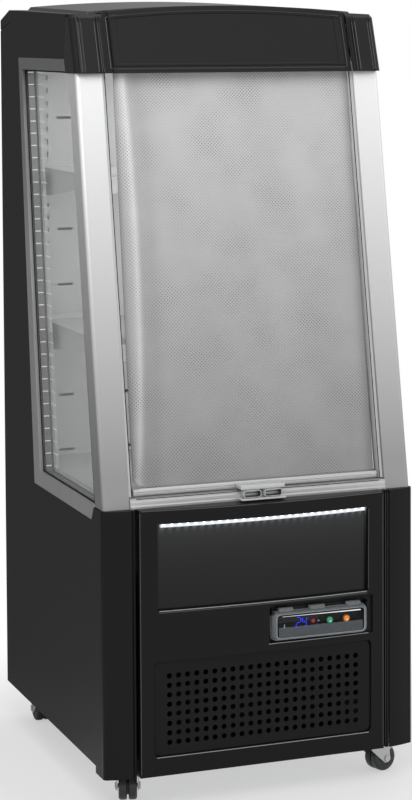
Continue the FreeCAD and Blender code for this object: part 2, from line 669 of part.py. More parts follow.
# ---------------------------------------------------------------- lower front
def lower_corner(sign):
    """Moulded corner from the skirt to the ledge, stepped beside the seam."""
    y_side = FRONT + POST_SETBACK
    y_seam = FRONT + 2.5
    x_step = SEAM_HALF + CORNER_STEP_WIDTH
    x1 = HALF
    r = CORNER_RADIUS
    depth = POST_DEPTH - 2.0

    def body(inset, z0, z1):
        side = r * (1 - math.sqrt(0.5))
        bulge = 2.0
        mid_x = (x1 - r + x_step) / 2
        mid_y = (y_side - 5.0 + y_seam) / 2 - bulge
        ends = [V(x_step, y_seam + inset, z0), V(mid_x, mid_y + inset, z0),
                V(x1 - r, y_side - 6.0 + inset, z0)]
        back = y_side + (depth if inset == 0 else depth + 10)
        low_x = SEAM_HALF if inset == 0 else SEAM_HALF + inset
        high_x = x1 - inset
        edges = [Part.Arc(*ends).toShape(),
                 Part.Arc(ends[2], V(high_x - side, y_side - 6.0 + inset + side, z0),
                          V(high_x, y_side + r - 6.0 + inset, z0)).toShape(),
                 Part.makeLine(V(high_x, y_side + r - 6.0 + inset, z0), V(high_x, y_side + r, z0)),
                 Part.makeLine(V(high_x, y_side + r, z0), V(high_x - SHEET - 0.5, y_side + r, z0)),
                 Part.makeLine(V(high_x - SHEET - 0.5, y_side + r, z0), V(high_x - SHEET - 0.5, back, z0)),
                 Part.makeLine(V(high_x - SHEET - 0.5, back, z0), V(low_x, back, z0)),
                 Part.makeLine(V(low_x, back, z0), V(low_x, y_seam + CORNER_STEP + inset, z0)),
                 Part.makeLine(V(low_x, y_seam + CORNER_STEP + inset, z0),
                               V(x_step, y_seam + CORNER_STEP + inset, z0)),
                 Part.makeLine(V(x_step, y_seam + CORNER_STEP + inset, z0), ends[0])]
        return Part.Face(Part.Wire(edges)).extrude(V(0, 0, z1 - z0))
    outer = body(0.0, GROUND_GAP, LEDGE_HEIGHT)
    inner = body(PLASTIC, GROUND_GAP - 1, LEDGE_HEIGHT - PLASTIC)
    rib = box(SEAM_HALF + 2.5, SEAM_HALF + 5.0, y_seam + 0.5, y_seam + CORNER_STEP + 1,
              GROUND_GAP, LEDGE_HEIGHT)
    leg = box(SEAM_HALF - 1, SEAM_HALF + PLASTIC, FRONT + PANEL_RETURN, HALF, 0, LEDGE_HEIGHT - PLASTIC)
    corner = joined([outer.cut(inner).cut(leg), rib])
    return corner if sign > 0 else other_side(corner)


def bow_at(z):
    """How far the front panel stands ahead of its flat foot, at mid width."""
    return LEDGE_BOW * (z - GROUND_GAP) / (LEDGE_HEIGHT - GROUND_GAP)


def bowed_body(inset, head_inset, back):
    """Solid behind the front panel's bowed face, from the skirt to the ledge."""
    wires = []
    half = PANEL_HALF - inset
    for z, true_z in ((GROUND_GAP - (1.0 if inset else 0.0), GROUND_GAP),
                      (LEDGE_HEIGHT - head_inset, LEDGE_HEIGHT)):
        y = FRONT + inset
        bow = max(bow_at(true_z), 0.4)
        edges = [Part.Arc(V(-half, y, z), V(0, y - bow, z), V(half, y, z)).toShape(),
                 Part.makeLine(V(half, y, z), V(half, back, z)),
                 Part.makeLine(V(half, back, z), V(-half, back, z)),
                 Part.makeLine(V(-half, back, z), V(-half, y, z))]
        wires.append(Part.Wire(edges))
    return Part.makeLoft(wires, True, True)


def promo_window(grow, y0, y1):
    """Block through the promo field, grown all round."""
    return box(-PROMO_HALF - grow, PROMO_HALF + grow, y0, y1, PROMO_FOOT - grow, PROMO_HEAD + grow)


def grille_window(grow, y0, y1):
    """Block through the grille opening, grown all round."""
    return rounded_block(-GRILLE_HALF - grow, GRILLE_HALF + grow, y0, y1, GRILLE_FOOT - grow,
                         GRILLE_HEAD + grow, GRILLE_RADIUS + grow)


def control_window(grow, y0, y1):
    """Block through the recess of the controls, grown all round."""
    return box(CONTROL_LEFT - grow, CONTROL_RIGHT + grow, y0, y1, CONTROL_FOOT - grow, CONTROL_HEAD + grow)


def front_panel():
    """Bowed moulded front with a ledge and three framed openings."""
    back = FRONT + PANEL_RETURN
    outer = bowed_body(0.0, 0.0, back)
    shell = outer.cut(bowed_body(PLASTIC, PLASTIC, back + 10))
    ahead = FRONT - LEDGE_BOW - 5
    frames = []
    for window, depth in ((promo_window, PROMO_SUNK + 6), (grille_window, GRILLE_SUNK + GRILLE_SHEET + 4),
                          (control_window, CONTROL_SUNK + PLASTIC)):
        ring = window(REVEAL, ahead, FRONT + depth).cut(window(0.0, ahead - 1, FRONT + depth + 1))
        frames.append(ring.common(outer))
    floor = control_window(REVEAL, FRONT + CONTROL_SUNK, FRONT + CONTROL_SUNK + PLASTIC)
    floor = floor.cut(housing_body(SLIP))
    holes = [window(0.0, ahead, FRONT + PLASTIC + 0.5)
             for window in (promo_window, grille_window, control_window)]
    return joined([less(shell, holes)] + frames + [floor])


def behind_face(sunk, thickness):
    """Layer of the given thickness that follows the bowed face at a depth."""
    body = bowed_body(0.0, 0.0, FRONT + PANEL_RETURN)
    near = body.copy()
    near.translate(V(0, sunk, 0))
    far = body.copy()
    far.translate(V(0, sunk + thickness, 0))
    return near.cut(far)


def promo_panel():
    """Glossy sheet at the bottom of the promo field, bowed like the front."""
    layer = behind_face(PROMO_SUNK, PLASTIC)
    return layer.common(promo_window(-SLIP, FRONT - LEDGE_BOW - 5, FRONT + PANEL_RETURN))


def led_strip():
    """Light strip along the head of the promo field."""
    head = PROMO_HEAD - SLIP
    layer = behind_face(1.5, PROMO_SUNK - 1.5 - SLIP)
    span = box(-PROMO_HALF + 6, PROMO_HALF - 6, FRONT - LEDGE_BOW - 5, FRONT + PANEL_RETURN,
               head - LED_HEIGHT, head)
    return layer.common(span)


def grille_panel():
    """Flat perforated panel in front of the condenser."""
    y0 = FRONT + GRILLE_SUNK
    plate = grille_window(-SLIP, y0, y0 + GRILLE_SHEET)
    columns = int((2 * GRILLE_HALF - 2 * HOLE_MARGIN) // HOLE_PITCH) + 1
    rows = int((GRILLE_HEAD - GRILLE_FOOT - 2 * HOLE_MARGIN + HOLE_PITCH * 0.7) // HOLE_PITCH) + 1
    middle_z = (GRILLE_FOOT + GRILLE_HEAD) / 2 - HOLE_DROP
    holes = []
    for i in range(columns):
        for k in range(rows):
            x = (i - (columns - 1) / 2) * HOLE_PITCH
            z = middle_z + (k - (rows - 1) / 2) * HOLE_PITCH
            holes.append(closed_face([V(x + b, y0, z + a) for a, b in polygon(HOLE_RADIUS, 6)]))
    face = Part.Face(rounded_wire(-GRILLE_HALF + SLIP, GRILLE_HALF - SLIP, GRILLE_FOOT + SLIP,
                                  GRILLE_HEAD - SLIP, GRILLE_RADIUS - SLIP, y0))
    plate = face.cut(Part.makeCompound(holes)).extrude(V(0, GRILLE_SHEET, 0))
    rim = grille_window(-SLIP, y0 + GRILLE_SHEET, y0 + GRILLE_SHEET + 4)
    rim = rim.cut(grille_window(-SLIP - 2.0, y0, y0 + 10))
    return plate.fuse(rim)


# ---------------------------------------------------------------- controls
def housing_body(grow):
    """Block of the control housing behind its bezel."""
    return box(BEZEL_LEFT + 8 - grow, BEZEL_RIGHT - 8 + grow, FRONT + CONTROL_SUNK - 1,
               FRONT + HOUSING_DEPTH, BEZEL_FOOT + 8 - grow, BEZEL_HEAD - 8 + grow)


def hinge_axis():
    """(y, z) of the clear cover's hinge."""
    return FRONT - HINGE_FORWARD, BEZEL_HEAD - HINGE_DROP


def control_housing():
    """Black bezel and box with two ears for the cover's hinge."""
    y0 = FRONT
    edge = chamfered(BEZEL_LEFT, BEZEL_RIGHT, BEZEL_FOOT, BEZEL_HEAD, BEZEL_FOOT_CUT, BEZEL_HEAD_CUT)
    bezel = front_prism(edge, y0, FRONT + CONTROL_SUNK)
    solid = joined([bezel, housing_body(0.0)])
    room = box(BEZEL_LEFT + 10, BEZEL_RIGHT - 10, FRONT + CONTROL_SUNK, FRONT + HOUSING_DEPTH - 2,
               BEZEL_FOOT + 10, BEZEL_HEAD - 10)
    holes = [box(DISPLAY_LEFT - SLIP, DISPLAY_RIGHT + SLIP, y0 - 1, y0 + 5, DISPLAY_FOOT - SLIP,
                 DISPLAY_HEAD + SLIP)]
    for x in (GREEN_X, ORANGE_X):
        holes.append(rod(BUTTON_RADIUS + RUNNING, (x, y0 - 1, BUTTON_Z), (x, y0 + 5, BUTTON_Z)))
    solid = less(solid, [room] + holes)
    axis_y, axis_z = hinge_axis()
    ears = []
    for x in (BEZEL_LEFT - 4 - SLIP, BEZEL_RIGHT + SLIP):
        ear = box(x, x + 4, axis_y, FRONT + CONTROL_SUNK, axis_z - 5, axis_z + 4)
        ear = ear.fuse(rod(4.5, (x, axis_y, axis_z - 0.5), (x + 4, axis_y, axis_z - 0.5)))
        ear = ear.cut(rod(HINGE_PIN + RUNNING, (x - 1, axis_y, axis_z), (x + 5, axis_y, axis_z)))
        inner = BEZEL_LEFT + 3 if x < BEZEL_LEFT else BEZEL_RIGHT - 3
        tie = box(min(x, inner), max(x + 4, inner), FRONT, FRONT + CONTROL_SUNK, axis_z - 14, axis_z - 5)
        web = box(x, x + 4, FRONT, FRONT + CONTROL_SUNK, axis_z - 14, axis_z + 4)
        ears += [ear, tie, web]
    return joined([solid] + ears)


def temperature_display():
    """Small display module behind the bezel."""
    face = box(DISPLAY_LEFT, DISPLAY_RIGHT, FRONT + 0.5, FRONT + 5, DISPLAY_FOOT, DISPLAY_HEAD)
    board = box(DISPLAY_LEFT - 3, DISPLAY_RIGHT + 3, FRONT + CONTROL_SUNK + SLIP, FRONT + 16,
                DISPLAY_FOOT - 2, DISPLAY_HEAD + 2)
    return joined([face, board])


def control_cover():
    """Clear lid over the controls, a tapered shell with stub pins at its top."""
    back = FRONT - 1.0
    front = back - COVER_DEPTH
    x0, x1, z0, z1 = BEZEL_LEFT, BEZEL_RIGHT, BEZEL_FOOT, BEZEL_HEAD

    def shell(inset, y_back, y_front):
        rings = []
        for y, step in ((y_back, inset), (y_front, inset + COVER_TAPER)):
            points = chamfered(x0 + step, x1 - step, z0 + step, z1 - step, BEZEL_FOOT_CUT, BEZEL_HEAD_CUT)
            rings.append([V(x, y, z) for x, z in points])
        return stacked(rings)
    lid = shell(0.0, back, front).cut(shell(COVER_WALL, back + 0.5, front + COVER_WALL))
    axis_y, axis_z = hinge_axis()
    pins = [rod(HINGE_PIN, (x0 + 16, axis_y, axis_z), (x0 - 3.5, axis_y, axis_z)),
            rod(HINGE_PIN, (x1 - 16, axis_y, axis_z), (x1 + 3.5, axis_y, axis_z))]
    step = (x1 - x0) / 4
    tabs = [box(x0 + step * k - 12, x0 + step * k + 12, back - 9, back - 4, z1 - 4, z1 + 1)
            for k in (1, 2, 3)]
    return joined([lid] + pins + tabs)


def button(x):
    """Round lit button with a soft edge, held by a collar behind the bezel."""
    y0 = FRONT - BUTTON_PROUD
    r = BUTTON_RADIUS
    edge = 1.2
    outline = [(0, 0), (r, 0), (r, BUTTON_BODY - edge), (r - edge, BUTTON_BODY), (0, BUTTON_BODY)]
    cap = spun(outline, (x, y0 + BUTTON_BODY, BUTTON_Z), (0, -1, 0))
    reach = r + BUTTON_COLLAR
    collar = box(x - reach, x + reach, FRONT + CONTROL_SUNK + 0.2, y0 + BUTTON_BODY,
                 BUTTON_Z - reach, BUTTON_Z + reach)
    return joined([cap, collar])


# ---------------------------------------------------------------- canopy
def cap_section(z, inset, x0=CAP_INNER):
    """Plan of a canopy cap at height z, drawn in from its outer faces; x0 is its inner edge."""
    y0 = canopy_face(z) + inset
    x1 = HALF - inset
    r = CAP_RADIUS - inset
    back = y0 + CAP_WRAP_KINK + CAP_WRAP_HEAD
    side = r * (1 - math.sqrt(0.5))
    edges = [Part.makeLine(V(x0, back, z), V(x0, y0, z)), Part.makeLine(V(x0, y0, z), V(x1 - r, y0, z)),
             Part.Arc(V(x1 - r, y0, z), V(x1 - side, y0 + side, z), V(x1, y0 + r, z)).toShape(),
             Part.makeLine(V(x1, y0 + r, z), V(x1, back, z)), Part.makeLine(V(x1, back, z), V(x0, back, z))]
    return Part.Wire(edges)


def cap_body(inset, x0, z0, z1):
    """Body of a cap between two heights, leaning with the canopy's face."""
    lean = V(0, canopy_face(z1) - canopy_face(z0), z1 - z0)
    return Part.Face(cap_section(z0, inset, x0)).extrude(lean)


def leaning_slab(x0, x1, depth0, depth1):
    """Slab between two depths behind the canopy's face."""
    z0, z1 = CANOPY_FOOT - 1, CANOPY_TOP + CROWN + 5
    outline = [(canopy_face(z0) + depth0, z0), (canopy_face(z0) + depth1, z0),
               (canopy_face(z1) + depth1, z1), (canopy_face(z1) + depth0, z1)]
    return side_prism(outline, x0, x1)


def canopy_cap(sign):
    """Moulded corner of the canopy, bevelled on top, ribbed at the corner and beside the fascia."""
    shoulder = CAP_TOP - CAP_BEVEL
    crown = Part.makeLoft([cap_section(shoulder, 0.0), cap_section(CAP_TOP, CAP_BEVEL * 0.7)], True, True)
    outer = cap_body(0.0, CAP_INNER, CANOPY_FOOT, shoulder).fuse(crown)
    inner = cap_body(PLASTIC, CAP_INNER - 5.0, CANOPY_FOOT - 1, shoulder)
    rear = cap_rear()
    far = HEAD_FRONT + 150.0
    rear_cut = [(rear[0][0], rear[0][1] - 2)] + rear
    rear_cut += [(rear[2][0], CAP_TOP + 5), (far, CAP_TOP + 5), (far, CANOPY_FOOT - 2)]
    cap = outer.cut(inner).cut(side_prism(rear_cut, CAP_INNER - 1, HALF + 1))
    grooves = [leaning_slab(HALF - 14.5, HALF - 13.0, -5, 2.2),
               leaning_slab(HALF - 8.5, HALF - 7.0, -5, 4.5)]
    steps = [leaning_slab(CAP_INNER + a, CAP_INNER + b, -5, 2.0) for a, b in ((-1, 3), (6, 9), (12, 14))]
    cap = less(cap, grooves + steps)
    return cap if sign > 0 else other_side(cap)


def arch_height(x, end_height):
    """Height of the canopy's arch at x, for an arch that ends at end_height beside the caps."""
    half = CAP_INNER - FASCIA_END
    radius = (half * half + CROWN * CROWN) / (2 * CROWN)
    return end_height + CROWN - radius + math.sqrt(radius * radius - x * x)


def arch_outline(half, foot, end_height, y):
    """Upright outline with an arched top, cut to a half width."""
    end = arch_height(half, end_height)
    edges = [Part.makeLine(V(-half, y, end), V(-half, y, foot)),
             Part.makeLine(V(-half, y, foot), V(half, y, foot)),
             Part.makeLine(V(half, y, foot), V(half, y, end)),
             Part.Arc(V(half, y, end), V(0, y, end_height + CROWN), V(-half, y, end)).toShape()]
    return Part.Face(Part.Wire(edges))


def arched_block(half, foot, end_height, depth0, depth1):
    """Arched block between two depths behind the canopy's leaning face."""
    y_near = canopy_face(CANOPY_FOOT) - 15.0
    y_far = canopy_face(CANOPY_TOP) + 60.0
    block = arch_outline(half, foot, end_height, y_near).extrude(V(0, y_far - y_near, 0))
    return block.common(leaning_slab(-half - 1, half + 1, depth0, depth1))


def canopy_fascia():
    """Arched front of the canopy with a sunk field and a lip at its foot."""
    half = CAP_INNER - FASCIA_END
    y_back = canopy_face(CANOPY_FOOT) + CAP_WRAP_HEAD
    t = FASCIA_WALL
    sheet = arched_block(half, CANOPY_FOOT, CANOPY_TOP, 0.0, t)
    field = arched_block(half - INSET_MARGIN, CANOPY_FOOT + INSET_FOOT, CANOPY_TOP - 8.0, -5.0, INSET_DEPTH)
    rim = arched_block(half, CANOPY_FOOT, CANOPY_TOP, t - 1.0, 14.0)
    rim = rim.cut(arched_block(half - t, CANOPY_FOOT + t, CANOPY_TOP - t, t - 2.0, 15.0))
    back_zone = box(-half - 1, half + 1, canopy_face(CANOPY_FOOT) - 5, y_back, CANOPY_FOOT, CANOPY_TOP + 20)
    top = arched_block(half, CANOPY_TOP - 10.0, CANOPY_TOP, 13.0, 200.0).common(back_zone)
    top = top.cut(arched_block(half, CANOPY_FOOT, CANOPY_TOP - t, 12.0, 201.0))
    ends = []
    for sign in (-1, 1):
        a, b = sorted((sign * (half - 1), sign * (CAP_INNER - SLIP)))
        strip = leaning_slab(a, b, FASCIA_END_DEPTH, FASCIA_END_DEPTH + PLASTIC)
        ends.append(strip.common(box(-HALF, HALF, -400, 0, CANOPY_FOOT, CANOPY_TOP - 2)))
        roof = leaning_slab(a, b, FASCIA_END_DEPTH, 300.0)
        ends.append(roof.common(box(-HALF, HALF, -400, y_back, CANOPY_TOP - 2 - PLASTIC, CANOPY_TOP - 2)))
    return joined([sheet.cut(field), rim, top] + ends)


# ---------------------------------------------------------------- display fittings
def upright_face():
    """Y of the slotted uprights' front."""
    return DUCT_FRONT - UPRIGHT_DEPTH


def shelf_uprights():
    """Two slotted channels that carry the shelves."""
    x1 = INNER_HALF - SLIP
    x0 = x1 - UPRIGHT_WIDTH
    y0 = upright_face()
    z0 = DECK_TOP + UPRIGHT_UP
    z1 = ceiling_height() - 12.0
    channel = box(x0, x1, y0, DUCT_FRONT, z0, z1)
    channel = channel.cut(box(x0 + SHEET, x1 - SHEET, y0 + SHEET, DUCT_FRONT + 1, z0 - 1, z1 + 1))
    centre = upright_slot_centre()
    slots = []
    count = int((z1 - z0 - 20) // UPRIGHT_PITCH)
    for i in range(1, count + 1):
        z = DECK_TOP + UPRIGHT_PITCH * i
        slots.append(box(centre - UPRIGHT_SLOT / 2, centre + UPRIGHT_SLOT / 2, y0 - 1, y0 + SHEET + 1,
                         z - UPRIGHT_SLOT_HEIGHT / 2, z + UPRIGHT_SLOT_HEIGHT / 2))
    channel = less(channel, slots)
    return Part.makeCompound([channel, other_side(channel)])


def upright_slot_centre():
    """X of the middle of an upright's slots."""
    return INNER_HALF - SLIP - UPRIGHT_WIDTH / 2


def shelf_height(level):
    """Top of a shelf, level 1 being the lower one; each hangs on a slot."""
    return DECK_TOP + SHELF_GAP * level - UPRIGHT_PITCH


def shelf_front(level):
    """Front edge of a shelf."""
    return blind_plane(shelf_height(level)) + SHELF_FRONT_GAP


def shelf(level):
    """White sheet shelf on two brackets that hook into the uprights."""
    top = shelf_height(level)
    front = shelf_front(level)
    rear = upright_face() - 2.0
    half = INNER_HALF - SHELF_SIDE_GAP
    plate = box(-half, half, front, rear, top - SHEET, top)
    lip = box(-half, half, front, front + SHEET, top - SHELF_LIP, top)
    back_lip = box(-half, half, rear - SHEET, rear, top - SHEET, top + 10)
    parts = [plate, lip, back_lip]
    x = upright_slot_centre()
    tab = UPRIGHT_SLOT_HEIGHT - 1.5
    for sign in (-1, 1):
        x0 = sign * x - BRACKET_SHEET / 2
        arm = [(front + 4, top - 1), (rear, top - 1), (upright_face() - SLIP, top - 1),
               (upright_face() - SLIP, top - BRACKET_REAR), (front + 4, top - BRACKET_FRONT)]
        parts.append(side_prism(arm, x0, x0 + BRACKET_SHEET))
        for step in (1, 2):
            z = top - UPRIGHT_PITCH * step
            parts.append(box(x0, x0 + BRACKET_SHEET, upright_face() - 2, upright_face() + SHEET + 3,
                             z - tab / 2, z + tab / 2))
    return joined(parts)


def price_rails():
    """Clip-on label rails along the shelf fronts."""
    half = INNER_HALF - SHELF_SIDE_GAP
    rails = []
    for level in range(1, SHELVES + 1):
        top = shelf_height(level)
        y1 = shelf_front(level)
        foot = top - SHELF_LIP
        outline = [(y1, foot), (y1, top), (y1 - RAIL_THICK, top), (y1 - RAIL_THICK, top - 4),
                   (y1 - 1.5, top - 4), (y1 - 1.5, foot + 4), (y1 - RAIL_THICK, foot + 4),
                   (y1 - RAIL_THICK, foot)]
        rails.append(side_prism(outline, -half, half))
    return Part.makeCompound(rails)


def sill_back():
    """Y of the sill profile's back."""
    return FRONT + POST_SETBACK - SILL_FORWARD + SILL_DEPTH


def sill_profile():
    """Aluminium sill between the posts, grooved along its face."""
    half = HALF - PLASTIC - POST_WIDTH - SLIP
    y0 = FRONT + POST_SETBACK - SILL_FORWARD
    y1 = sill_back()
    z0 = LEDGE_HEIGHT
    z1 = z0 + SILL_HEIGHT
    outline = [(y0, z0), (y1, z0), (y1, z1 - 4), (y1 - 3, z1), (y0 + 3, z1), (y0 + 3, z1 - 4),
               (y0 + 1.5, z1 - 6), (y0 + 1.5, z0 + 6), (y0, z0 + 4)]
    return side_prism(outline, -half, half)


# ---------------------------------------------------------------- night blind
def along_blind(up, inward):
    """(y, z) at a run up the blind plane from the top of the sill, and a depth behind it."""
    z0 = LEDGE_HEIGHT + SILL_HEIGHT
    s, c = math.sin(math.radians(POST_LEAN)), math.cos(math.radians(POST_LEAN))
    return blind_plane(z0) + up * s + inward * c, z0 + up * c - inward * s


def bar_start():
    """Run up the blind plane to the bar's underside, clear of the sill."""
    return SLIP + BAR_DEPTH / 2 * math.tan(math.radians(POST_LEAN)) + 0.5


def roller_run():
    """Run up the blind plane to the roller's height."""
    rise = CANOPY_FOOT + ROLLER_UP - LEDGE_HEIGHT - SILL_HEIGHT
    return rise / math.cos(math.radians(POST_LEAN))


def roller_axis():
    """(y, z) of the roller's axis, one tube radius behind the cloth."""
    return along_blind(roller_run(), ROLLER_RADIUS + FABRIC / 2 + SLIP)


def blind_roller():
    """Sprung tube that winds the blind, with a pin at each end."""
    y, z = roller_axis()
    tube = rod(ROLLER_RADIUS, (-BLIND_HALF, y, z), (BLIND_HALF, y, z))
    pins = rod(ROLLER_PIN, (-BLIND_HALF - 12, y, z), (BLIND_HALF + 12, y, z))
    return tube.fuse(pins)


def blind_brackets():
    """Plates that carry the roller's pins, footed on the head."""
    y, z = roller_axis()
    x0 = BLIND_HALF + 6.0
    plate = side_prism([(y - 14, z - 13), (y + 10, z - 15), (HEAD_FRONT - SLIP, z - 30),
                        (HEAD_FRONT - SLIP, z + 22), (y - 4, z + 15), (y - 14, z + 8)], x0, x0 + 3)
    foot_z1 = min(z + 22, CANOPY_TOP - 24.0)
    foot = box(x0 - 18, x0 + 3, HEAD_FRONT - 3 - SLIP, HEAD_FRONT - SLIP, z - 16, foot_z1)
    bracket = joined([plate, foot])
    bracket = bracket.cut(rod(ROLLER_PIN + RUNNING, (x0 - 5, y, z), (x0 + 8, y, z)))
    return Part.makeCompound([bracket, other_side(bracket)])


def blind_fabric():
    """Hanging cloth from the roller to the bar, with soft folds near both edges."""
    start = bar_start() + BAR_HEIGHT - 5.0
    end = roller_run()
    half = BLIND_HALF - 1.0
    foot_y, foot_z = along_blind(start, 0.0)
    head_y, head_z = along_blind(end, 0.0)

    def section(y, z, out):
        """Closed outline of the cloth at one height; out is how far its edge folds stand."""
        h = FABRIC / 2
        first = half - FOLD_SPAN
        second = half - 2 * FOLD_SPAN
        xs = [-half, -first, -second, second, first, half]
        swing = [out, -out, 0.0, -out, out]
        near, far = [], []
        for i, reach in enumerate(swing):
            for rows, off in ((near, -h), (far, h)):
                a = V(xs[i], y + off, z)
                b = V(xs[i + 1], y + off, z)
                middle = V((xs[i] + xs[i + 1]) / 2, y + off + reach, z)
                rows.append(Part.Arc(a, middle, b).toShape() if reach else Part.makeLine(a, b))
        ends = [Part.makeLine(V(half, y - h, z), V(half, y + h, z)),
                Part.makeLine(V(-half, y + h, z), V(-half, y - h, z))]
        return Part.Wire(near + ends[:1] + far[::-1] + ends[1:])
    hem_y, hem_z = along_blind(bar_start() + BAR_HEIGHT + 2.0, 0.0)
    low_y, low_z = along_blind(bar_start() + BAR_HEIGHT + 62.0, 0.0)
    top_y, top_z = along_blind(end - 60.0, 0.0)
    hem = Part.Face(section(foot_y, foot_z, 0.0)).extrude(V(0, hem_y - foot_y, hem_z - foot_z))
    lower = Part.makeLoft([section(hem_y, hem_z, 0.0), section(low_y, low_z, FOLD * 0.8)], True, True)
    middle = Part.Face(section(low_y, low_z, FOLD * 0.8)).extrude(V(0, top_y - low_y, top_z - low_z))
    upper = Part.makeLoft([section(top_y, top_z, FOLD * 0.8), section(head_y, head_z, 0.0)], True, True)
    return joined([hem, lower, middle, upper])


def blind_bar():
    """Aluminium bottom bar with a slot that grips the cloth's hem."""
    half = BLIND_HALF + 3.0
    low = bar_start()
    high = low + BAR_HEIGHT
    d = BAR_DEPTH / 2
    slot = FABRIC / 2 + SLIP
    outline = [along_blind(low, -d + 1.5), along_blind(low, d), along_blind(high, d),
               along_blind(high, slot), along_blind(high - 6, slot),
               along_blind(high - 6, -slot), along_blind(high, -slot),
               along_blind(high, -d + 2), along_blind(high - 3, -d), along_blind(low + 6, -d),
               along_blind(low + 5, -d + 1.5), along_blind(low + 3.5, -d + 1.5), along_blind(low + 2.5, -d)]
    return side_prism(outline, -half, half)


def blind_handle():
    """Pull handle on the bar: a web over the sill between two lips, with cheeks and a rib."""
    t = HANDLE_SHEET
    high = along_blind(bar_start() + BAR_HEIGHT - 3.2, -BAR_DEPTH / 2)
    low = along_blind(bar_start() + 6.2, -BAR_DEPTH / 2)
    web = FRONT + POST_SETBACK - SILL_FORWARD - 1.5
    foot = LEDGE_HEIGHT + 2.0
    top = LEDGE_HEIGHT + SILL_HEIGHT + 1.5
    tip = web - t - HANDLE_REACH
    outline = [low, (web + 2, top), (web, top - 1.5), (web, foot), (tip, foot), (tip, foot + t),
               (web - t, foot + t), (web - t, top), (tip + 5, top - 4), (tip + 4, top - 2),
               (web - 7, top + 3), (web + 1, top + 5), high]
    plate = side_prism(outline, -HANDLE_HALF, HANDLE_HALF)
    cheek = [(web - t, foot), (tip, foot), (tip, foot + t), (tip + 5, top - 4), (web - t, top)]
    starts = (-HANDLE_HALF, -HANDLE_RIB / 2, HANDLE_HALF - t)
    widths = (t, HANDLE_RIB, t)
    cheeks = [side_prism(cheek, x, x + w) for x, w in zip(starts, widths)]
    return joined([plate] + cheeks)


# ---------------------------------------------------------------- cooling unit
def fan_blades(radius, hub, depth, centre, axis, bore, count):
    """Hub with tilted blades round a bore; drawn on the Z axis, then placed."""
    parts = [plan_prism(polygon(hub, 12), -depth / 2, depth / 2)]
    for k in range(count):
        outline = [(hub * 0.9, -hub * 0.5), (radius * 0.8, -hub), (radius * 0.98, -hub * 0.5),
                   (radius * 0.98, hub * 0.5), (radius * 0.8, hub), (hub * 0.9, hub * 0.5)]
        blade = plan_prism(outline, -0.8, 0.8)
        blade.rotate(V(0, 0, 0), V(1, 0, 0), 90.0 * depth / (depth + 2.5 * hub))
        blade.rotate(V(0, 0, 0), V(0, 0, 1), 360.0 * k / count)
        parts.append(blade)
    fan = joined(parts)
    fan = fan.cut(Part.makeCylinder(bore, depth + 10, V(0, 0, -depth / 2 - 5)))
    fan.Placement = FreeCAD.Placement(V(*centre), FreeCAD.Rotation(V(0, 0, 1), V(*axis)))
    return fan


def fan_frame(x, y, z, half, radius, depth, hub, shaft):
    """Square frame with a round mouth, struts behind it, a motor and its shaft."""
    plate = box(x - half, x + half, y, y + depth, z - half, z + half)
    plate = plate.cut(barrel(radius, 24, x, z, y - 1, y + depth + 1))
    motor = barrel(hub, 12, x, z, y + depth - 2, y + depth + 22)
    axle = rod(shaft, (x, y + 1, z), (x, y + depth, z))
    parts = [plate, motor, axle]
    for turn in (45, 135):
        bar = box(-half * 1.3, half * 1.3, 0, 3, -3, 3)
        bar.rotate(V(0, 0, 0), V(0, 1, 0), turn)
        bar.translate(V(x, y + depth - 3, z))
        parts.append(bar.common(box(x - half, x + half, y, y + depth + 1, z - half, z + half)))
    return joined(parts)


CONDENSER_FRONT = FRONT + 40.0
CONDENSER_Z = TRAY_BASE + 2.0
CONDENSER_FAN_Y = CONDENSER_FRONT + CONDENSER_DEPTH + 1.0
CONDENSER_FAN_Z = CONDENSER_Z + CONDENSER_HEIGHT / 2
FAN_FRAME_DEPTH = 22.0
EVAPORATOR_FAN_Y = FRONT + 440.0
EVAPORATOR_FAN_Z = WELL_FLOOR + WELL_DEPTH / 2


def finned_block(half, y0, y1, z0, z1, pitch):
    """Block of fins with plain end plates and the tube bends at one end."""
    block = box(-half, half, y0, y1, z0, z1)
    grooves = []
    count = int(2 * (half - 8) // pitch)
    for i in range(count):
        x = (i - (count - 1) / 2) * pitch
        grooves.append(box(x - pitch * 0.3, x + pitch * 0.3, y0 - 1, y1 - 6, z0 + 3, z1 - 3))
    return less(block, grooves)


def tube_bend(x, y, z, radius, tube):
    """Squared loop of tube that joins two passes at an end plate."""
    outer = radius + tube
    inner = radius - tube
    outline = [(x, z - outer), (x + outer * 0.6, z - outer), (x + outer, z - outer * 0.6),
               (x + outer, z + outer * 0.6), (x + outer * 0.6, z + outer), (x, z + outer), (x, z + inner),
               (x + inner * 0.6, z + inner), (x + inner, z + inner * 0.6), (x + inner, z - inner * 0.6),
               (x + inner * 0.6, z - inner), (x, z - inner)]
    return front_prism(outline, y - tube, y + tube)


def condenser():
    """Finned condenser with its tube bends, standing on the tray."""
    half = CONDENSER_WIDTH / 2
    z1 = CONDENSER_Z + CONDENSER_HEIGHT
    back = CONDENSER_FRONT + CONDENSER_DEPTH
    block = finned_block(half, CONDENSER_FRONT, back, CONDENSER_Z, z1, FIN_PITCH)
    mid = CONDENSER_FRONT + CONDENSER_DEPTH / 2
    bends = [tube_bend(half - 0.5, mid, CONDENSER_Z + 50 * (k + 0.75), 12.5, 4.5) for k in range(4)]
    return joined([block] + bends)


def condenser_fan_shroud():
    """Fan frame on the back of the condenser."""
    half = CONDENSER_HEIGHT / 2
    return fan_frame(0.0, CONDENSER_FAN_Y - 1.0, CONDENSER_FAN_Z, half, FAN_RADIUS + 4, FAN_FRAME_DEPTH + 6,
                     28.0, 4.0)


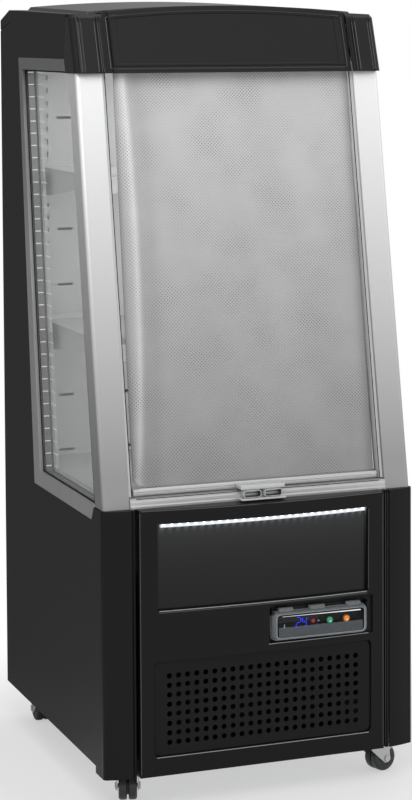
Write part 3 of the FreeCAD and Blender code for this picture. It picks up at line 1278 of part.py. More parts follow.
def condenser_fan():
    """Fan that draws air through the grille."""
    y = CONDENSER_FAN_Y + FAN_FRAME_DEPTH / 2
    return fan_blades(FAN_RADIUS, 22.0, 16.0, (0.0, y, CONDENSER_FAN_Z), (0, 1, 0), 4.0 + RUNNING,
                      FAN_BLADES)


def compressor():
    """Sealed compressor on rubber feet, with its terminal cover and stub pipes."""
    x, y = -120.0, BACK - 150.0
    r = COMPRESSOR_RADIUS
    base = TRAY_BASE + 2.0
    foot = base + 16.0
    top = foot + COMPRESSOR_HEIGHT
    rings = []
    for z, size in ((foot + 3, r * 0.9), (foot + 18, r), (top - 40, r), (top, r * 0.6)):
        rings.append([V(x + a, y + b, z) for a, b in polygon(size, 16)])
    pot = stacked(rings)
    plate = box(x - 105, x + 105, y - 62, y + 62, foot, foot + 4)
    feet = [box(x + a * 88 - 10, x + a * 88 + 10, y + b * 46 - 10, y + b * 46 + 10, base, foot)
            for a in (-1, 1) for b in (-1, 1)]
    terminal = box(x + r - 12, x + r + 26, y - 25, y + 25, foot + 60, foot + 120)
    pipes = [plan_prism([(x + side + a, y + 40 + b) for a, b in polygon(5, 8)], top - 40, top + rise)
             for side, rise in ((-20, 30), (20, 12))]
    return joined([pot, plate, terminal] + feet + pipes)


def evaporator_coil():
    """Finned evaporator in the well under the deck."""
    y0 = FRONT + 250.0
    z0 = WELL_FLOOR
    z1 = WELL_FLOOR + WELL_DEPTH - 14.0
    block = finned_block(190.0, y0, y0 + 130.0, z0, z1, FIN_PITCH)
    bends = [tube_bend(189.5, y0 + 30 + 35 * k, z0 + 40, 12.5, 4.5) for k in range(3)]
    return joined([block] + bends)


def evaporator_fan_frame():
    """Frame, motor and shaft of the fan in the well."""
    half = WELL_DEPTH / 2 - SLIP
    mouth = EVAPORATOR_FAN_RADIUS + 3
    return fan_frame(0.0, EVAPORATOR_FAN_Y, EVAPORATOR_FAN_Z, half, mouth, 22.0, 17.0, 3.0)


def evaporator_fan():
    """Fan that pushes air up the duct."""
    return fan_blades(EVAPORATOR_FAN_RADIUS, 12.0, 12.0, (0.0, EVAPORATOR_FAN_Y + 10.0, EVAPORATOR_FAN_Z),
                      (0, 1, 0), 3.0 + RUNNING, FAN_BLADES)


def cable_gland():
    """Screwed gland in the back where the mains lead would enter."""
    y = BACK - SHEET
    body = barrel(GLAND_RADIUS, 16, GLAND_X, GLAND_Z, y - 8, BACK)
    nut = barrel(GLAND_RADIUS + 4, 6, GLAND_X, GLAND_Z, y - 8, y - SLIP)
    return joined([body, nut]).cut(barrel(4.5, 8, GLAND_X, GLAND_Z, y - 10, BACK + 1))


# ---------------------------------------------------------------- castors
def castor_place(name):
    """(x, y) of a castor's kingpin."""
    x = (HALF - CASTOR_IN_X) * (-1 if name.endswith("left") else 1)
    y = FRONT + CASTOR_IN_Y if name.startswith("front") else BACK - CASTOR_IN_Y
    return x, y


def placed(shape, name):
    """A castor piece, drawn with its trail along +X, turned and moved to its corner."""
    x, y = castor_place(name)
    shape.rotate(V(0, 0, 0), V(0, 0, 1), CASTOR_TURN[name])
    shape.translate(V(x, y, 0))
    return shape


def castor_plates():
    """Four top plates with their swivel heads."""
    plates = []
    for name in CASTOR_TURN:
        x, y = castor_place(name)
        plate = box(x - 30, x + 30, y - 30, y + 30, TRAY_BASE - 3, TRAY_BASE)
        head = plan_prism([(x + a, y + b) for a, b in polygon(19.0, 16)], TRAY_BASE - 8, TRAY_BASE - 3)
        bore = rod(KINGPIN_RADIUS + RUNNING, (x, y, TRAY_BASE - 10), (x, y, TRAY_BASE + 1))
        plates.append(joined([plate, head]).cut(bore))
    return Part.makeCompound(plates)


def brake_axis():
    """(x, z) of a pedal's hinge on the unturned castor."""
    return TRAIL + BRAKE_FORWARD, WHEEL_RADIUS + BRAKE_UP


def castor_fork(name):
    """Fork with its kingpin and axle; the front ones carry ears for a brake pedal."""
    top = TRAY_BASE - 8.0 - SLIP
    inner = WHEEL_WIDTH / 2 + 1.2
    outer = inner + FORK_SHEET
    crown = plan_prism(polygon(22.0, 16), top - 4, top)
    bridge = box(-16, 24, -outer, outer, top - 6.5, top - 4)
    parts = [crown, bridge, rod(KINGPIN_RADIUS, (0, 0, top - 2), (0, 0, TRAY_BASE - 0.5)),
             rod(AXLE_RADIUS, (TRAIL, -inner - 1, WHEEL_RADIUS), (TRAIL, inner + 1, WHEEL_RADIUS)),
             barrel(AXLE_RADIUS + 2.5, 6, TRAIL, WHEEL_RADIUS, -outer - 2.5, 1 - outer),
             barrel(AXLE_RADIUS + 2.5, 6, TRAIL, WHEEL_RADIUS, outer - 1, outer + 2.5)]
    leg = [(-16, top - 5), (-16, top - 12), (TRAIL - 9, WHEEL_RADIUS - 4), (TRAIL - 4, WHEEL_RADIUS - 8),
           (TRAIL + 4, WHEEL_RADIUS - 8), (TRAIL + 9, WHEEL_RADIUS - 4), (26, top - 12), (24, top - 5)]
    pin_x, pin_z = brake_axis()
    ear = [(20, top - 5), (pin_x + 4, top - 4), (pin_x + 4, pin_z - 4), (pin_x - 5, pin_z - 5),
           (20, pin_z - 14)]
    for side in (-1, 1):
        a, b = sorted((side * inner, side * outer))
        parts.append(front_prism(leg, a, b))
        if name.startswith("front"):
            parts.append(front_prism(ear, a, b))
    fork = joined(parts)
    if name.startswith("front"):
        fork = fork.cut(rod(BRAKE_PIN + RUNNING, (pin_x, -outer - 1, pin_z), (pin_x, outer + 1, pin_z)))
    return placed(fork, name)


def castor_wheel(name):
    """Wide wheel of two lobes with a groove between them, bored for the axle."""
    w = WHEEL_WIDTH / 2
    r = WHEEL_RADIUS
    outline = [(r - 3, -w), (r, 4 - w), (r, -2.5), (r - 5, 0), (r, 2.5), (r, w - 4), (r - 3, w)]
    rings = [[V(TRAIL + b, y, WHEEL_RADIUS + a) for a, b in polygon(radius, WHEEL_SIDES)]
             for radius, y in outline]
    bore = rod(AXLE_RADIUS + RUNNING, (TRAIL, -w - 1, r), (TRAIL, w + 1, r))
    return placed(stacked(rings).cut(bore), name)


def castor_brake(name):
    """Foot pedal on two stub pins between the fork's ears, with a pad over the wheel."""
    x, z = brake_axis()
    half = WHEEL_WIDTH / 2 + 0.6
    outline = [(x - 5, z - 1), (x - 3, z - 3), (x + 3, z - 3), (x + 18, z + 2), (x + 20, z + 5),
               (x + 17, z + 6), (x + 3, z + 3.5), (x - 4, z + 3)]
    pedal = front_prism(outline, -half, half)
    pins = rod(BRAKE_PIN, (x, -half - 2.5, z), (x, half + 2.5, z))
    return placed(pedal.fuse(pins), name)


def pieces():
    """Every node's name with the function that makes it."""
    table = {
        "base_tray": base_tray,
        "side_panel_left": lambda: side_panel(-1),
        "side_panel_right": lambda: side_panel(1),
        "rear_panel": rear_panel,
        "roof_panel": roof_panel,
        "insulated_liner": liner,
        "duct_panel": duct_panel,
        "deck_plate": deck_plate,
        "return_grille": return_grille,
        "air_outlet": air_outlet,
        "window_frame_left": lambda: window_frame(-1),
        "window_frame_right": lambda: window_frame(1),
        "side_glass_left": lambda: side_glass(-1),
        "side_glass_right": lambda: side_glass(1),
        "glazing_spacers": glazing_spacers,
        "front_post_left": lambda: front_post(-1),
        "front_post_right": lambda: front_post(1),
        "lower_corner_left": lambda: lower_corner(-1),
        "lower_corner_right": lambda: lower_corner(1),
        "canopy_cap_left": lambda: canopy_cap(-1),
        "canopy_cap_right": lambda: canopy_cap(1),
        "canopy_fascia": canopy_fascia,
        "sill_profile": sill_profile,
        "front_panel": front_panel,
        "promo_panel": promo_panel,
        "led_strip": led_strip,
        "grille_panel": grille_panel,
        "control_housing": control_housing,
        "temperature_display": temperature_display,
        "control_cover": control_cover,
        "green_button": lambda: button(GREEN_X),
        "orange_button": lambda: button(ORANGE_X),
        "shelf_uprights": shelf_uprights,
        "price_rails": price_rails,
        "blind_roller": blind_roller,
        "blind_brackets": blind_brackets,
        "blind_fabric": blind_fabric,
        "blind_bar": blind_bar,
        "blind_handle": blind_handle,
        "evaporator_coil": evaporator_coil,
        "evaporator_fan_frame": evaporator_fan_frame,
        "evaporator_fan": evaporator_fan,
        "compressor": compressor,
        "condenser": condenser,
        "condenser_fan_shroud": condenser_fan_shroud,
        "condenser_fan": condenser_fan,
        "cable_gland": cable_gland,
        "castor_plates": castor_plates,
    }
    for level in range(1, SHELVES + 1):
        table["shelf_%d" % level] = lambda level=level: shelf(level)
    for name in CASTOR_TURN:
        table["castor_fork_" + name] = lambda name=name: castor_fork(name)
        table["castor_wheel_" + name] = lambda name=name: castor_wheel(name)
        if name.startswith("front"):
            table["castor_brake_" + name] = lambda name=name: castor_brake(name)
    return table


def main():
    """Build every piece and write it to its own file."""
    os.makedirs("parts", exist_ok=True)
    total = 0.0
    for name, build in pieces().items():
        shape = build()
        if not shape.isValid():
            print("not valid:", name)
        shape.exportStep(os.path.join("parts", name + ".step"))
        solids = len(shape.Solids)
        total += shape.Volume
        print("%-24s solids %d volume %.0f" % (name, solids, shape.Volume))
    print("volume in all: %.1f litres" % (total / 1e6))


main()
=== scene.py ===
"""Looks for the open multideck display fridge: finishes, fine pieces, floor, lights and camera.

Lengths are millimetres inside this file and become metres where a mesh is made.
The front faces -Y, +Z is up and +X is to the right of someone facing the front.
"""
import json
import logging
import math
from dataclasses import dataclass, field
from enum import Enum
from typing import Sequence, Union

import bmesh
import bpy
import numpy as np
from mathutils import Matrix, Vector


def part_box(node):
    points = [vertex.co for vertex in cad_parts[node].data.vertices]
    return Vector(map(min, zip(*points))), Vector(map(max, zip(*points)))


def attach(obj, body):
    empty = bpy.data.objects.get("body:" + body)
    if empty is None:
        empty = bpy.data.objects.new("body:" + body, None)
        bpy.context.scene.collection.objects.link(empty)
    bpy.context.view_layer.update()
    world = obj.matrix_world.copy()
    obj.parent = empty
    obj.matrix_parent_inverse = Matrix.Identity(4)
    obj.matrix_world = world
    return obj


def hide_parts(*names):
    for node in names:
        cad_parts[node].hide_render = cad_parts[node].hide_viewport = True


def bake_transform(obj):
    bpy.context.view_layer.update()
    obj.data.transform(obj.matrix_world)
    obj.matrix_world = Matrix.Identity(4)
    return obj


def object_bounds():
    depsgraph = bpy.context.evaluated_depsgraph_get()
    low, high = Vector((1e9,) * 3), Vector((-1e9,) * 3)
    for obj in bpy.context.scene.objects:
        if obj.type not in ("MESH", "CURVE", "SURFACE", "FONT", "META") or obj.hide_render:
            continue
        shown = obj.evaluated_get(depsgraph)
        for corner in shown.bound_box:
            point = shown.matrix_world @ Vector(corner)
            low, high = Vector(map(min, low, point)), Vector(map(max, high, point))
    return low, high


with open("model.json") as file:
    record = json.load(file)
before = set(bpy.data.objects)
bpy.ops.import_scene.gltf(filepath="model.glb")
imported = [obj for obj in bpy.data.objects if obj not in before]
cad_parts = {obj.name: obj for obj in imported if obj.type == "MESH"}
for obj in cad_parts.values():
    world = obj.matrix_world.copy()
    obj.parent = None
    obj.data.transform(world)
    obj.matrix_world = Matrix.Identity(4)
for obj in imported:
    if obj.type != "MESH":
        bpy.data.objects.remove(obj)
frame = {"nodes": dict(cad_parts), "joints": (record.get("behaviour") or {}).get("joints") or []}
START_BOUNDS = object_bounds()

LOG = logging.getLogger("display_fridge")
ROOT = "cabinet"
MM = 0.001
LEAN = math.radians(10.75)      # posts and night blind, from upright

Value = Union[bpy.types.NodeSocket, float, Sequence[float]]
Sockets = bpy.types.bpy_prop_collection
WHITE = (1, 1, 1, 1)
DUST_GREY = "8d8b87"
LAMP_WHITE = "f4f8ff"
FRONT = (0, -1, 0)              # the way the front faces
SIDES = ((-1, "left"), (1, "right"))


def rgba(code: str) -> tuple[float, ...]:
    """Turn a screen colour such as 8f8f8f into linear red, green and blue with a full alpha.

    Args:
        code: six hexadecimal digits.

    Returns:
        Four values from 0 to 1: c/12.92 below 0.04045, else ((c+0.055)/1.055)^2.4, and 1.
    """
    parts = [int(code[i:i + 2], 16) / 255 for i in (0, 2, 4)]
    return (*(c / 12.92 if c <= 0.04045 else ((c + 0.055) / 1.055) ** 2.4 for c in parts), 1.0)


def corners(node: str) -> tuple[np.ndarray, np.ndarray]:
    """Lowest and highest corner of a CAD node in millimetres."""
    low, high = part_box(node)
    return np.array(low) / MM, np.array(high) / MM


def points_of(node: str) -> np.ndarray:
    """Every corner point of a CAD node's mesh, in millimetres."""
    mesh = frame["nodes"][node].data
    points = np.zeros(len(mesh.vertices) * 3)
    mesh.vertices.foreach_get("co", points)
    return points.reshape(-1, 3) / MM


def first_hits(node: str, starts: np.ndarray, way: Sequence[float], axis: int) -> np.ndarray:
    """Coordinate, in millimetres, where parallel rays first meet a node.

    Args:
        node: the CAD node.
        starts: the rays' starts, in millimetres.
        way: their direction.
        axis: which coordinate to give.

    Returns:
        One value for each ray; a ray that misses takes its neighbours' value.
    """
    piece = frame["nodes"][node]
    hits = [piece.ray_cast(Vector(start) * MM, Vector(way)) for start in starts]
    found = np.array([place[axis] / MM if hit else np.nan for hit, place, _, _ in hits])
    good = ~np.isnan(found)
    steps = np.arange(len(found))
    return np.interp(steps, steps[good], found[good])


def front_of(node: str, xs: np.ndarray, zs: np.ndarray) -> np.ndarray:
    """Y of a node's foremost surface at each x and z, all in millimetres."""
    return first_hits(node, np.stack([xs, np.full_like(zs, -500.0), zs], -1), (0, 1, 0), 1)


def top_of(node: str, xs: np.ndarray, y: float) -> np.ndarray:
    """Z of a node's highest surface at each x along one line of equal Y, all in millimetres."""
    return first_hits(node, np.stack([xs, np.full_like(xs, y), np.full_like(xs, 2000.0)], -1), (0, 0, -1), 2)


def at_depth(plan: np.ndarray, y: float) -> np.ndarray:
    """Points (x, y, z) of a flat outline of (x, z) rows at one depth."""
    return np.stack([plan[:, 0], np.full(len(plan), y), plan[:, 1]], -1)


def ring_about(axis: np.ndarray, sides: int) -> np.ndarray:
    """Unit circle square to an axis: cos a * u + sin a * w, with u and w square to the axis and to each other.

    Args:
        axis: any vector along the axis.
        sides: points round the circle.

    Returns:
        An array of points.
    """
    axis = axis / np.linalg.norm(axis)
    across = np.cross(axis, (0, 0, 1) if abs(axis[2]) < 0.9 else (1, 0, 0))
    across /= np.linalg.norm(across)
    turn = np.linspace(0, 2 * np.pi, sides, endpoint=False)[:, None]
    return np.cos(turn) * across + np.sin(turn) * np.cross(axis, across)


# ---------------------------------------------------------------- shader nodes
class Effect(Enum):
    """The shared surface effects, each one a node group."""

    GRAIN = "fine_grain"
    STREAK = "brushed_streaks"
    DUST = "settled_dust"
    PAINTED_LIGHT_FADE = "painted_light_fade_up"
    PERFORATION = "cloth_perforation"
    SCALLOP = "scalloped_light"


class Wiring:
    """Adds nodes to one node tree, each in one call whose inputs are sockets or plain values."""

    def __init__(self, tree: bpy.types.NodeTree) -> None:
        """Work on a tree."""
        self.tree = tree

    def put(self, value: Value, socket: bpy.types.NodeSocket) -> None:
        """Link a socket into another one, or set a plain value on it."""
        if isinstance(value, bpy.types.NodeSocket):
            self.tree.links.new(value, socket)
        else:
            socket.default_value = value

    def add(self, kind: str, inputs: dict[str | int, Value] | None = None,
            **settings: object) -> bpy.types.Node:
        """Add a node.

        Args:
            kind: the node's type without its first part, ShaderNode.
            inputs: what goes into each socket, by name or number.
            settings: the node's own properties.

        Returns:
            The node.
        """
        node = self.tree.nodes.new(f"ShaderNode{kind}")
        for label, value in settings.items():
            setattr(node, label, value)
        for place, value in (inputs or {}).items():
            self.put(value, node.inputs[place])
        return node

    def maths(self, operation: str, *values: Value) -> bpy.types.NodeSocket:
        """Result of a Math node."""
        return self.add("Math", dict(enumerate(values)), operation=operation).outputs[0]

    def vector(self, operation: str, *values: Value, result: str = "Vector") -> bpy.types.NodeSocket:
        """Result of a Vector Math node."""
        return self.add("VectorMath", dict(enumerate(values)), operation=operation).outputs[result]

    def split(self, vector: bpy.types.NodeSocket, axis: str) -> bpy.types.NodeSocket:
        """One coordinate of a vector."""
        return self.add("SeparateXYZ", {0: vector}).outputs[axis]

    def noise(self, place: bpy.types.NodeSocket, scale: Value, detail: float) -> bpy.types.NodeSocket:
        """Plain noise from 0 to 1."""
        return self.add("TexNoise", {"Vector": place, "Scale": scale, "Detail": detail}).outputs["Fac"]

    def about(self, middle: float, noise: bpy.types.NodeSocket, amount: Value) -> bpy.types.NodeSocket:
        """A middle value plus amount times the noise's distance from 0.5."""
        return self.maths("MULTIPLY_ADD", self.maths("SUBTRACT", noise, 0.5), amount, middle)

    def reach(self, value: Value, start: Value, end: Value, low: float = 0.0, high: float = 1.0,
              shape: str = "SMOOTHSTEP") -> bpy.types.NodeSocket:
        """Carry a value from one range into another.

        Args:
            value: what is carried over.
            start: where the result is low.
            end: where the result is high.
            low: the result at the start.
            high: the result at the end.
            shape: the Map Range node's interpolation.

        Returns:
            The result's socket.
        """
        inputs = {"Value": value, "From Min": start, "From Max": end, "To Min": low, "To Max": high}
        return self.add("MapRange", inputs, interpolation_type=shape).outputs[0]

    def mix(self, kind: str, factor: Value, first: Value, second: Value) -> bpy.types.NodeSocket:
        """Mix two colours by the given blend type."""
        node = self.add("Mix", data_type="RGBA", blend_type=kind)
        for place, value in ((0, factor), (6, first), (7, second)):
            self.put(value, node.inputs[place])
        return node.outputs[2]

    def effect(self, effect: Effect, **inputs: Value) -> Sockets:
        """Place a shared effect with its own values and give its outputs."""
        return self.add("Group", inputs, node_tree=GROUPS.get(effect)).outputs


class Groups:
    """Builds each shared effect once and hands it out."""

    def __init__(self) -> None:
        """Make an empty store."""
        self.made: dict[Effect, bpy.types.NodeTree] = {}

    def get(self, effect: Effect) -> bpy.types.NodeTree:
        """Give an effect's node group, built on first use.

        Args:
            effect: which effect.

        Returns:
            The shared node group.
        """
        if effect not in self.made:
            builders = {Effect.GRAIN: self._grain, Effect.STREAK: self._streak, Effect.DUST: self._dust,
                        Effect.PAINTED_LIGHT_FADE: self._painted_light_fade, Effect.PERFORATION: self._perforation,
                        Effect.SCALLOP: self._scallop}
            self.made[effect] = builders[effect]()
        return self.made[effect]

    @staticmethod
    def _open(effect: Effect, outputs: Sequence[str], **inputs: Value) -> tuple["Wiring", Sockets, Sockets]:
        """Open a group that takes a Vector and more named inputs, and gives out named numbers.

        Args:
            effect: which effect.
            outputs: name of each output.
            inputs: name and default of each input; three numbers make it a vector.

        Returns:
            The wiring, the sockets that come in and the sockets that go out.
        """
        tree = bpy.data.node_groups.new(effect.value, "ShaderNodeTree")
        for label, value in {"Vector": (0.0, 0.0, 0.0), **inputs}.items():
            kind = "NodeSocketVector" if isinstance(value, tuple) else "NodeSocketFloat"
            tree.interface.new_socket(label, in_out="INPUT", socket_type=kind).default_value = value
        for label in outputs:
            tree.interface.new_socket(label, in_out="OUTPUT", socket_type="NodeSocketFloat")
        return Wiring(tree), tree.nodes.new("NodeGroupInput").outputs, tree.nodes.new("NodeGroupOutput").inputs

    def _grain(self) -> bpy.types.NodeTree:
        """Moulded or powder-coated grain: noise at one scale for height, and a wide one for tone."""
        wires, enter, leave = self._open(Effect.GRAIN, ("Height", "Shade"), Scale=900.0, Tone=0.1)
        wires.put(wires.noise(enter["Vector"], enter["Scale"], 3), leave["Height"])
        wires.put(wires.about(1.0, wires.noise(enter["Vector"], 4.0, 5), enter["Tone"]), leave["Shade"])
        return wires.tree

    def _streak(self) -> bpy.types.NodeTree:
        """Brushed metal: noise squeezed along one axis by the Stretch vector."""
        wires, enter, leave = self._open(Effect.STREAK, ("Height", "Shade"), Stretch=(1.0, 1.0, 1.0), Tone=0.1)
        noise = wires.noise(wires.vector("MULTIPLY", enter["Vector"], enter["Stretch"]), 1.0, 4)
        wires.put(noise, leave["Height"])
        wires.put(wires.about(1.0, noise, enter["Tone"]), leave["Shade"])
        return wires.tree

    def _dust(self) -> bpy.types.NodeTree:
        """Faint dust on faces that look up: the normal's Z, raised to a power, times noise."""
        wires, enter, leave = self._open(Effect.DUST, ("Mask",), Amount=0.1)
        upward = wires.maths("MAXIMUM", wires.split(wires.add("NewGeometry").outputs["Normal"], "Z"), 0.0)
        up = wires.maths("POWER", upward, 3.0)
        speckled = wires.maths("MULTIPLY", up, wires.noise(enter["Vector"], 60.0, 6))
        wires.put(wires.maths("MULTIPLY", speckled, enter["Amount"]), leave["Mask"])
        return wires.tree

    def _painted_light_fade(self) -> bpy.types.NodeTree:
        """Mask of painted light and shade: a straight rise from 0 at height Foot to 1 at height Head, both in
        metres.
        """
        wires, enter, leave = self._open(Effect.PAINTED_LIGHT_FADE, ("Mask",), Foot=0.0, Head=1.0)
        height = wires.split(enter["Vector"], "Z")
        wires.put(wires.reach(height, enter["Foot"], enter["Head"], shape="LINEAR"), leave["Mask"])
        return wires.tree

    def _perforation(self) -> bpy.types.NodeTree:
        """Round holes on a diagonal grid: the cell's own place, from its middle, shorter than Radius."""
        wires, enter, leave = self._open(Effect.PERFORATION, ("Hole", "Height"), Cells=200.0, Radius=0.3,
                                         Patches=0.3)
        turn = {"Vector": enter["Vector"], "Rotation": (0, 0, math.radians(45))}
        turned = wires.add("Mapping", turn).outputs[0]
        grid = wires.add("VectorMath", {0: turned, "Scale": enter["Cells"]}, operation="SCALE").outputs[0]
        place = wires.vector("SUBTRACT", wires.vector("FRACTION", grid), (0.5, 0.5, 0.0))
        rim = wires.maths("ADD", enter["Radius"], 0.12)
        edge = wires.reach(wires.vector("LENGTH", place, result="Value"), enter["Radius"], rim, 1.0, 0.0)
        strength = wires.about(0.36, wires.noise(enter["Vector"], 11.0, 2), enter["Patches"])
        strength = wires.maths("MINIMUM", wires.maths("MAXIMUM", strength, 0.18), 0.62)
        wires.put(wires.maths("MULTIPLY", edge, strength), leave["Hole"])
        wires.put(wires.maths("MULTIPLY", edge, -1.0), leave["Height"])
        return wires.tree

    @staticmethod
    def _decay(wires: Wiring, depth: bpy.types.NodeSocket,
               length: bpy.types.NodeSocket) -> bpy.types.NodeSocket:
        """e^(-depth/length)."""
        share = wires.maths("DIVIDE", depth, wires.maths("MULTIPLY", length, -1.0))
        return wires.maths("EXPONENT", share)

    def _scallop(self) -> bpy.types.NodeTree:
        """Light below a row of lamps: e^(-depth/Near) times a wave along X, plus a wide e^(-depth/Far)."""
        wires, enter, leave = self._open(Effect.SCALLOP, ("Light",), Line=0.5, Pitch=0.015, Near=0.004,
                                         Far=0.03, Wide=0.05)
        drop = wires.maths("SUBTRACT", enter["Line"], wires.split(enter["Vector"], "Z"))
        depth = wires.maths("MAXIMUM", drop, 0.0)
        lean = wires.maths("MULTIPLY_ADD", depth, 0.15, wires.split(enter["Vector"], "X"))
        turns = wires.maths("DIVIDE", lean, enter["Pitch"])
        wave = wires.maths("COSINE", wires.maths("MULTIPLY", turns, 2 * math.pi))
        wave = wires.maths("MULTIPLY_ADD", wave, 0.5, 0.5)
        near, far = (self._decay(wires, depth, enter[name]) for name in ("Near", "Far"))
        spots = wires.maths("MULTIPLY", near, wave)
        wires.put(wires.maths("MULTIPLY_ADD", far, enter["Wide"], spots), leave["Light"])
        return wires.tree


GROUPS = Groups()


# ---------------------------------------------------------------- finishes
@dataclass(frozen=True)
class PaintedLightFade:
    """Painted light and shade: a second colour that a finish turns into with height, between two heights in
    millimetres.
    """

    colour: str
    foot: float
    head: float


@dataclass(frozen=True)
class Finish:
    """One surface finish, made into a material on demand.

    The colour is varied a little by the shared grain, streak, painted light fade and dust groups.
    """

    name: str
    colour: str
    roughness: float = 0.5
    metallic: float = 0.0
    specular: float = 0.5
    grain: float = 0.0              # height of the bump, in millimetres
    grain_scale: float = 900.0
    tone: float = 0.08
    streak: tuple[float, float, float] | None = None
    streak_height: float = 0.0
    dust: float = 0.0
    alpha: float = 1.0
    # alpha seen edge-on: a painted reflection that whitens clear sheets at a slant
    painted_reflection_alpha: float = 0.0
    glow: str | None = None
    glow_strength: float = 0.0
    painted_light_fade: PaintedLightFade | None = None
    edge: float = 0.0               # radius that softens the edges in the shading, in millimetres

    def material(self) -> bpy.types.Material:
        """Build the material, or give the one already built.

        Returns:
            The material.
        """
        title = f"{self.name}_finish"
        found = bpy.data.materials.get(title)
        if found:
            return found
        made = bpy.data.materials.new(title)
        made.use_nodes = True
        wires = Wiring(made.node_tree)
        shader = made.node_tree.nodes["Principled BSDF"]
        self._constants(shader)
        self._surface(wires, shader)
        if self.painted_reflection_alpha:
            self._painted_edge_on_reflection(wires, shader)
        return made

    def _constants(self, shader: bpy.types.Node) -> None:
        """Set what is the same all over the surface on the shader's own sockets."""
        plain = {"Base Color": rgba(self.colour), "Roughness": self.roughness, "Metallic": self.metallic,
                 "Specular IOR Level": self.specular, "Alpha": self.alpha}
        if self.glow:
            plain |= {"Emission Color": rgba(self.glow), "Emission Strength": self.glow_strength}
        for label, value in plain.items():
            shader.inputs[label].default_value = value

    def _painted_edge_on_reflection(self, wires: Wiring, shader: bpy.types.Node) -> None:
        """Let a clear sheet turn whiter where it is seen edge-on, a painted reflection."""
        facing = wires.add("LayerWeight", {"Blend": 0.35}).outputs["Fresnel"]
        wires.put(wires.reach(facing, 0.0, 1.0, self.alpha, self.painted_reflection_alpha, "LINEAR"), shader.inputs["Alpha"])

    def _base(self, wires: Wiring) -> Value:
        """The plain colour, turned with height into the painted light fade's own colour."""
        if not self.painted_light_fade:
            return rgba(self.colour)
        place = wires.add("TexCoord").outputs["Object"]
        foot, head = self.painted_light_fade.foot * MM, self.painted_light_fade.head * MM
        mask = wires.effect(Effect.PAINTED_LIGHT_FADE, Vector=place, Foot=foot, Head=head)["Mask"]
        return wires.mix("MIX", mask, rgba(self.colour), rgba(self.painted_light_fade.colour))

    def _surface(self, wires: Wiring, shader: bpy.types.Node) -> None:
        """Add grain or streaks, a painted light fade, dust and soft edges over the plain colour."""
        place = wires.add("TexCoord").outputs["Object"]
        if self.streak:
            shape = wires.effect(Effect.STREAK, Vector=place, Stretch=self.streak, Tone=self.tone)
        else:
            shape = wires.effect(Effect.GRAIN, Vector=place, Scale=self.grain_scale, Tone=self.tone)
        result = wires.mix("MULTIPLY", 1.0, self._base(wires), shape["Shade"])
        if self.dust:
            mask = wires.effect(Effect.DUST, Vector=place, Amount=self.dust)["Mask"]
            result = wires.mix("MIX", mask, result, rgba(DUST_GREY))
        wires.put(result, shader.inputs["Base Color"])
        self._relief(wires, shader, shape["Height"])

    def _relief(self, wires: Wiring, shader: bpy.types.Node, height: bpy.types.NodeSocket) -> None:
        """Soften edges and add the fine bump.

        Args:
            wires: the material's wiring.
            shader: the surface shader.
            height: the bump's height socket.
        """
        normal = None
        if self.edge:
            normal = wires.add("Bevel", {"Radius": self.edge * MM}, samples=4).outputs[0]
        rise = self.streak_height if self.streak else self.grain
        if rise:
            bump = wires.add("Bump", {"Strength": 0.4, "Distance": rise * MM, "Height": height})
            if normal:
                wires.put(normal, bump.inputs["Normal"])
            normal = bump.outputs["Normal"]
        if normal:
            wires.put(normal, shader.inputs["Normal"])


@dataclass(frozen=True)
class ClothFinish(Finish):
    """Light coated cloth with small holes on a diagonal grid, laid out on the cloth's own UV map in metres."""

    hole: str = "3c3c3c"
    cells: float = 222.0
    radius: float = 0.22
    patches: float = 1.3            # how much the holes' darkness varies over the cloth

    def _surface(self, wires: Wiring, shader: bpy.types.Node) -> None:
        """Lay the holes over the cloth's colour and sink them."""
        place = wires.add("UVMap", uv_map="cut").outputs[0]
        weave = wires.effect(Effect.GRAIN, Vector=place, Scale=self.grain_scale, Tone=self.tone)
        holes = wires.effect(Effect.PERFORATION, Vector=place, Cells=self.cells, Radius=self.radius,
                             Patches=self.patches)
        cloth = wires.mix("MULTIPLY", 1.0, self._base(wires), weave["Shade"])
        # painted light and shade across the cloth's fold and edges, from a per-point attribute
        painted_light = wires.add("Attribute", attribute_name="painted_light").outputs["Fac"]
        cloth = wires.mix("MULTIPLY", 1.0, cloth, painted_light)
        wires.put(wires.mix("MIX", holes["Hole"], cloth, rgba(self.hole)), shader.inputs["Base Color"])
        self._relief(wires, shader, holes["Height"])


@dataclass(frozen=True)
class LitPanelFinish(Finish):
    """Glossy sheet with the light of the lamp strip above it falling down its face, in millimetres."""

    line: float = 516.7
    pitch: float = 14.7
    near: float = 3.5
    far: float = 45.0
    wide: float = 0.03

    def _surface(self, wires: Wiring, shader: bpy.types.Node) -> None:
        """Add the scalloped light to the plain surface."""
        super()._surface(wires, shader)
        place = wires.add("TexCoord").outputs["Object"]
        light = wires.effect(Effect.SCALLOP, Vector=place, Line=self.line * MM, Pitch=self.pitch * MM,
                             Near=self.near * MM, Far=self.far * MM, Wide=self.wide)["Light"]
        wires.put(wires.mix("MULTIPLY", 1.0, rgba(LAMP_WHITE), light), shader.inputs["Emission Color"])
        shader.inputs["Emission Strength"].default_value = 1.0


SIDE_PAINT = Finish("side_paint", "262626", 0.5, specular=0.16, grain=0.05, grain_scale=1500, tone=0.06,
                    dust=0.01, edge=1.5)
DARK_PLASTIC = Finish("dark_plastic", "141414", 0.36, specular=0.14, grain=0.02, grain_scale=1800, tone=0.06,
                      edge=2.0)
CANOPY_PLASTIC = Finish("canopy_plastic", "1f1f1f", 0.34, specular=0.2, grain=0.02, grain_scale=1800, tone=0.05,
                        edge=2.0)
DARK_SHEET = Finish("dark_sheet", "131313", 0.4, specular=0.14, grain=0.02, grain_scale=1600, tone=0.05)
BLACK_PLASTIC = Finish("black_plastic", "0c0c0c", 0.3, specular=0.2, grain=0.02, grain_scale=1500, edge=1.0)
GLOSS_BLACK = LitPanelFinish("gloss_black", "171717", 0.2, specular=0.2, tone=0.02)
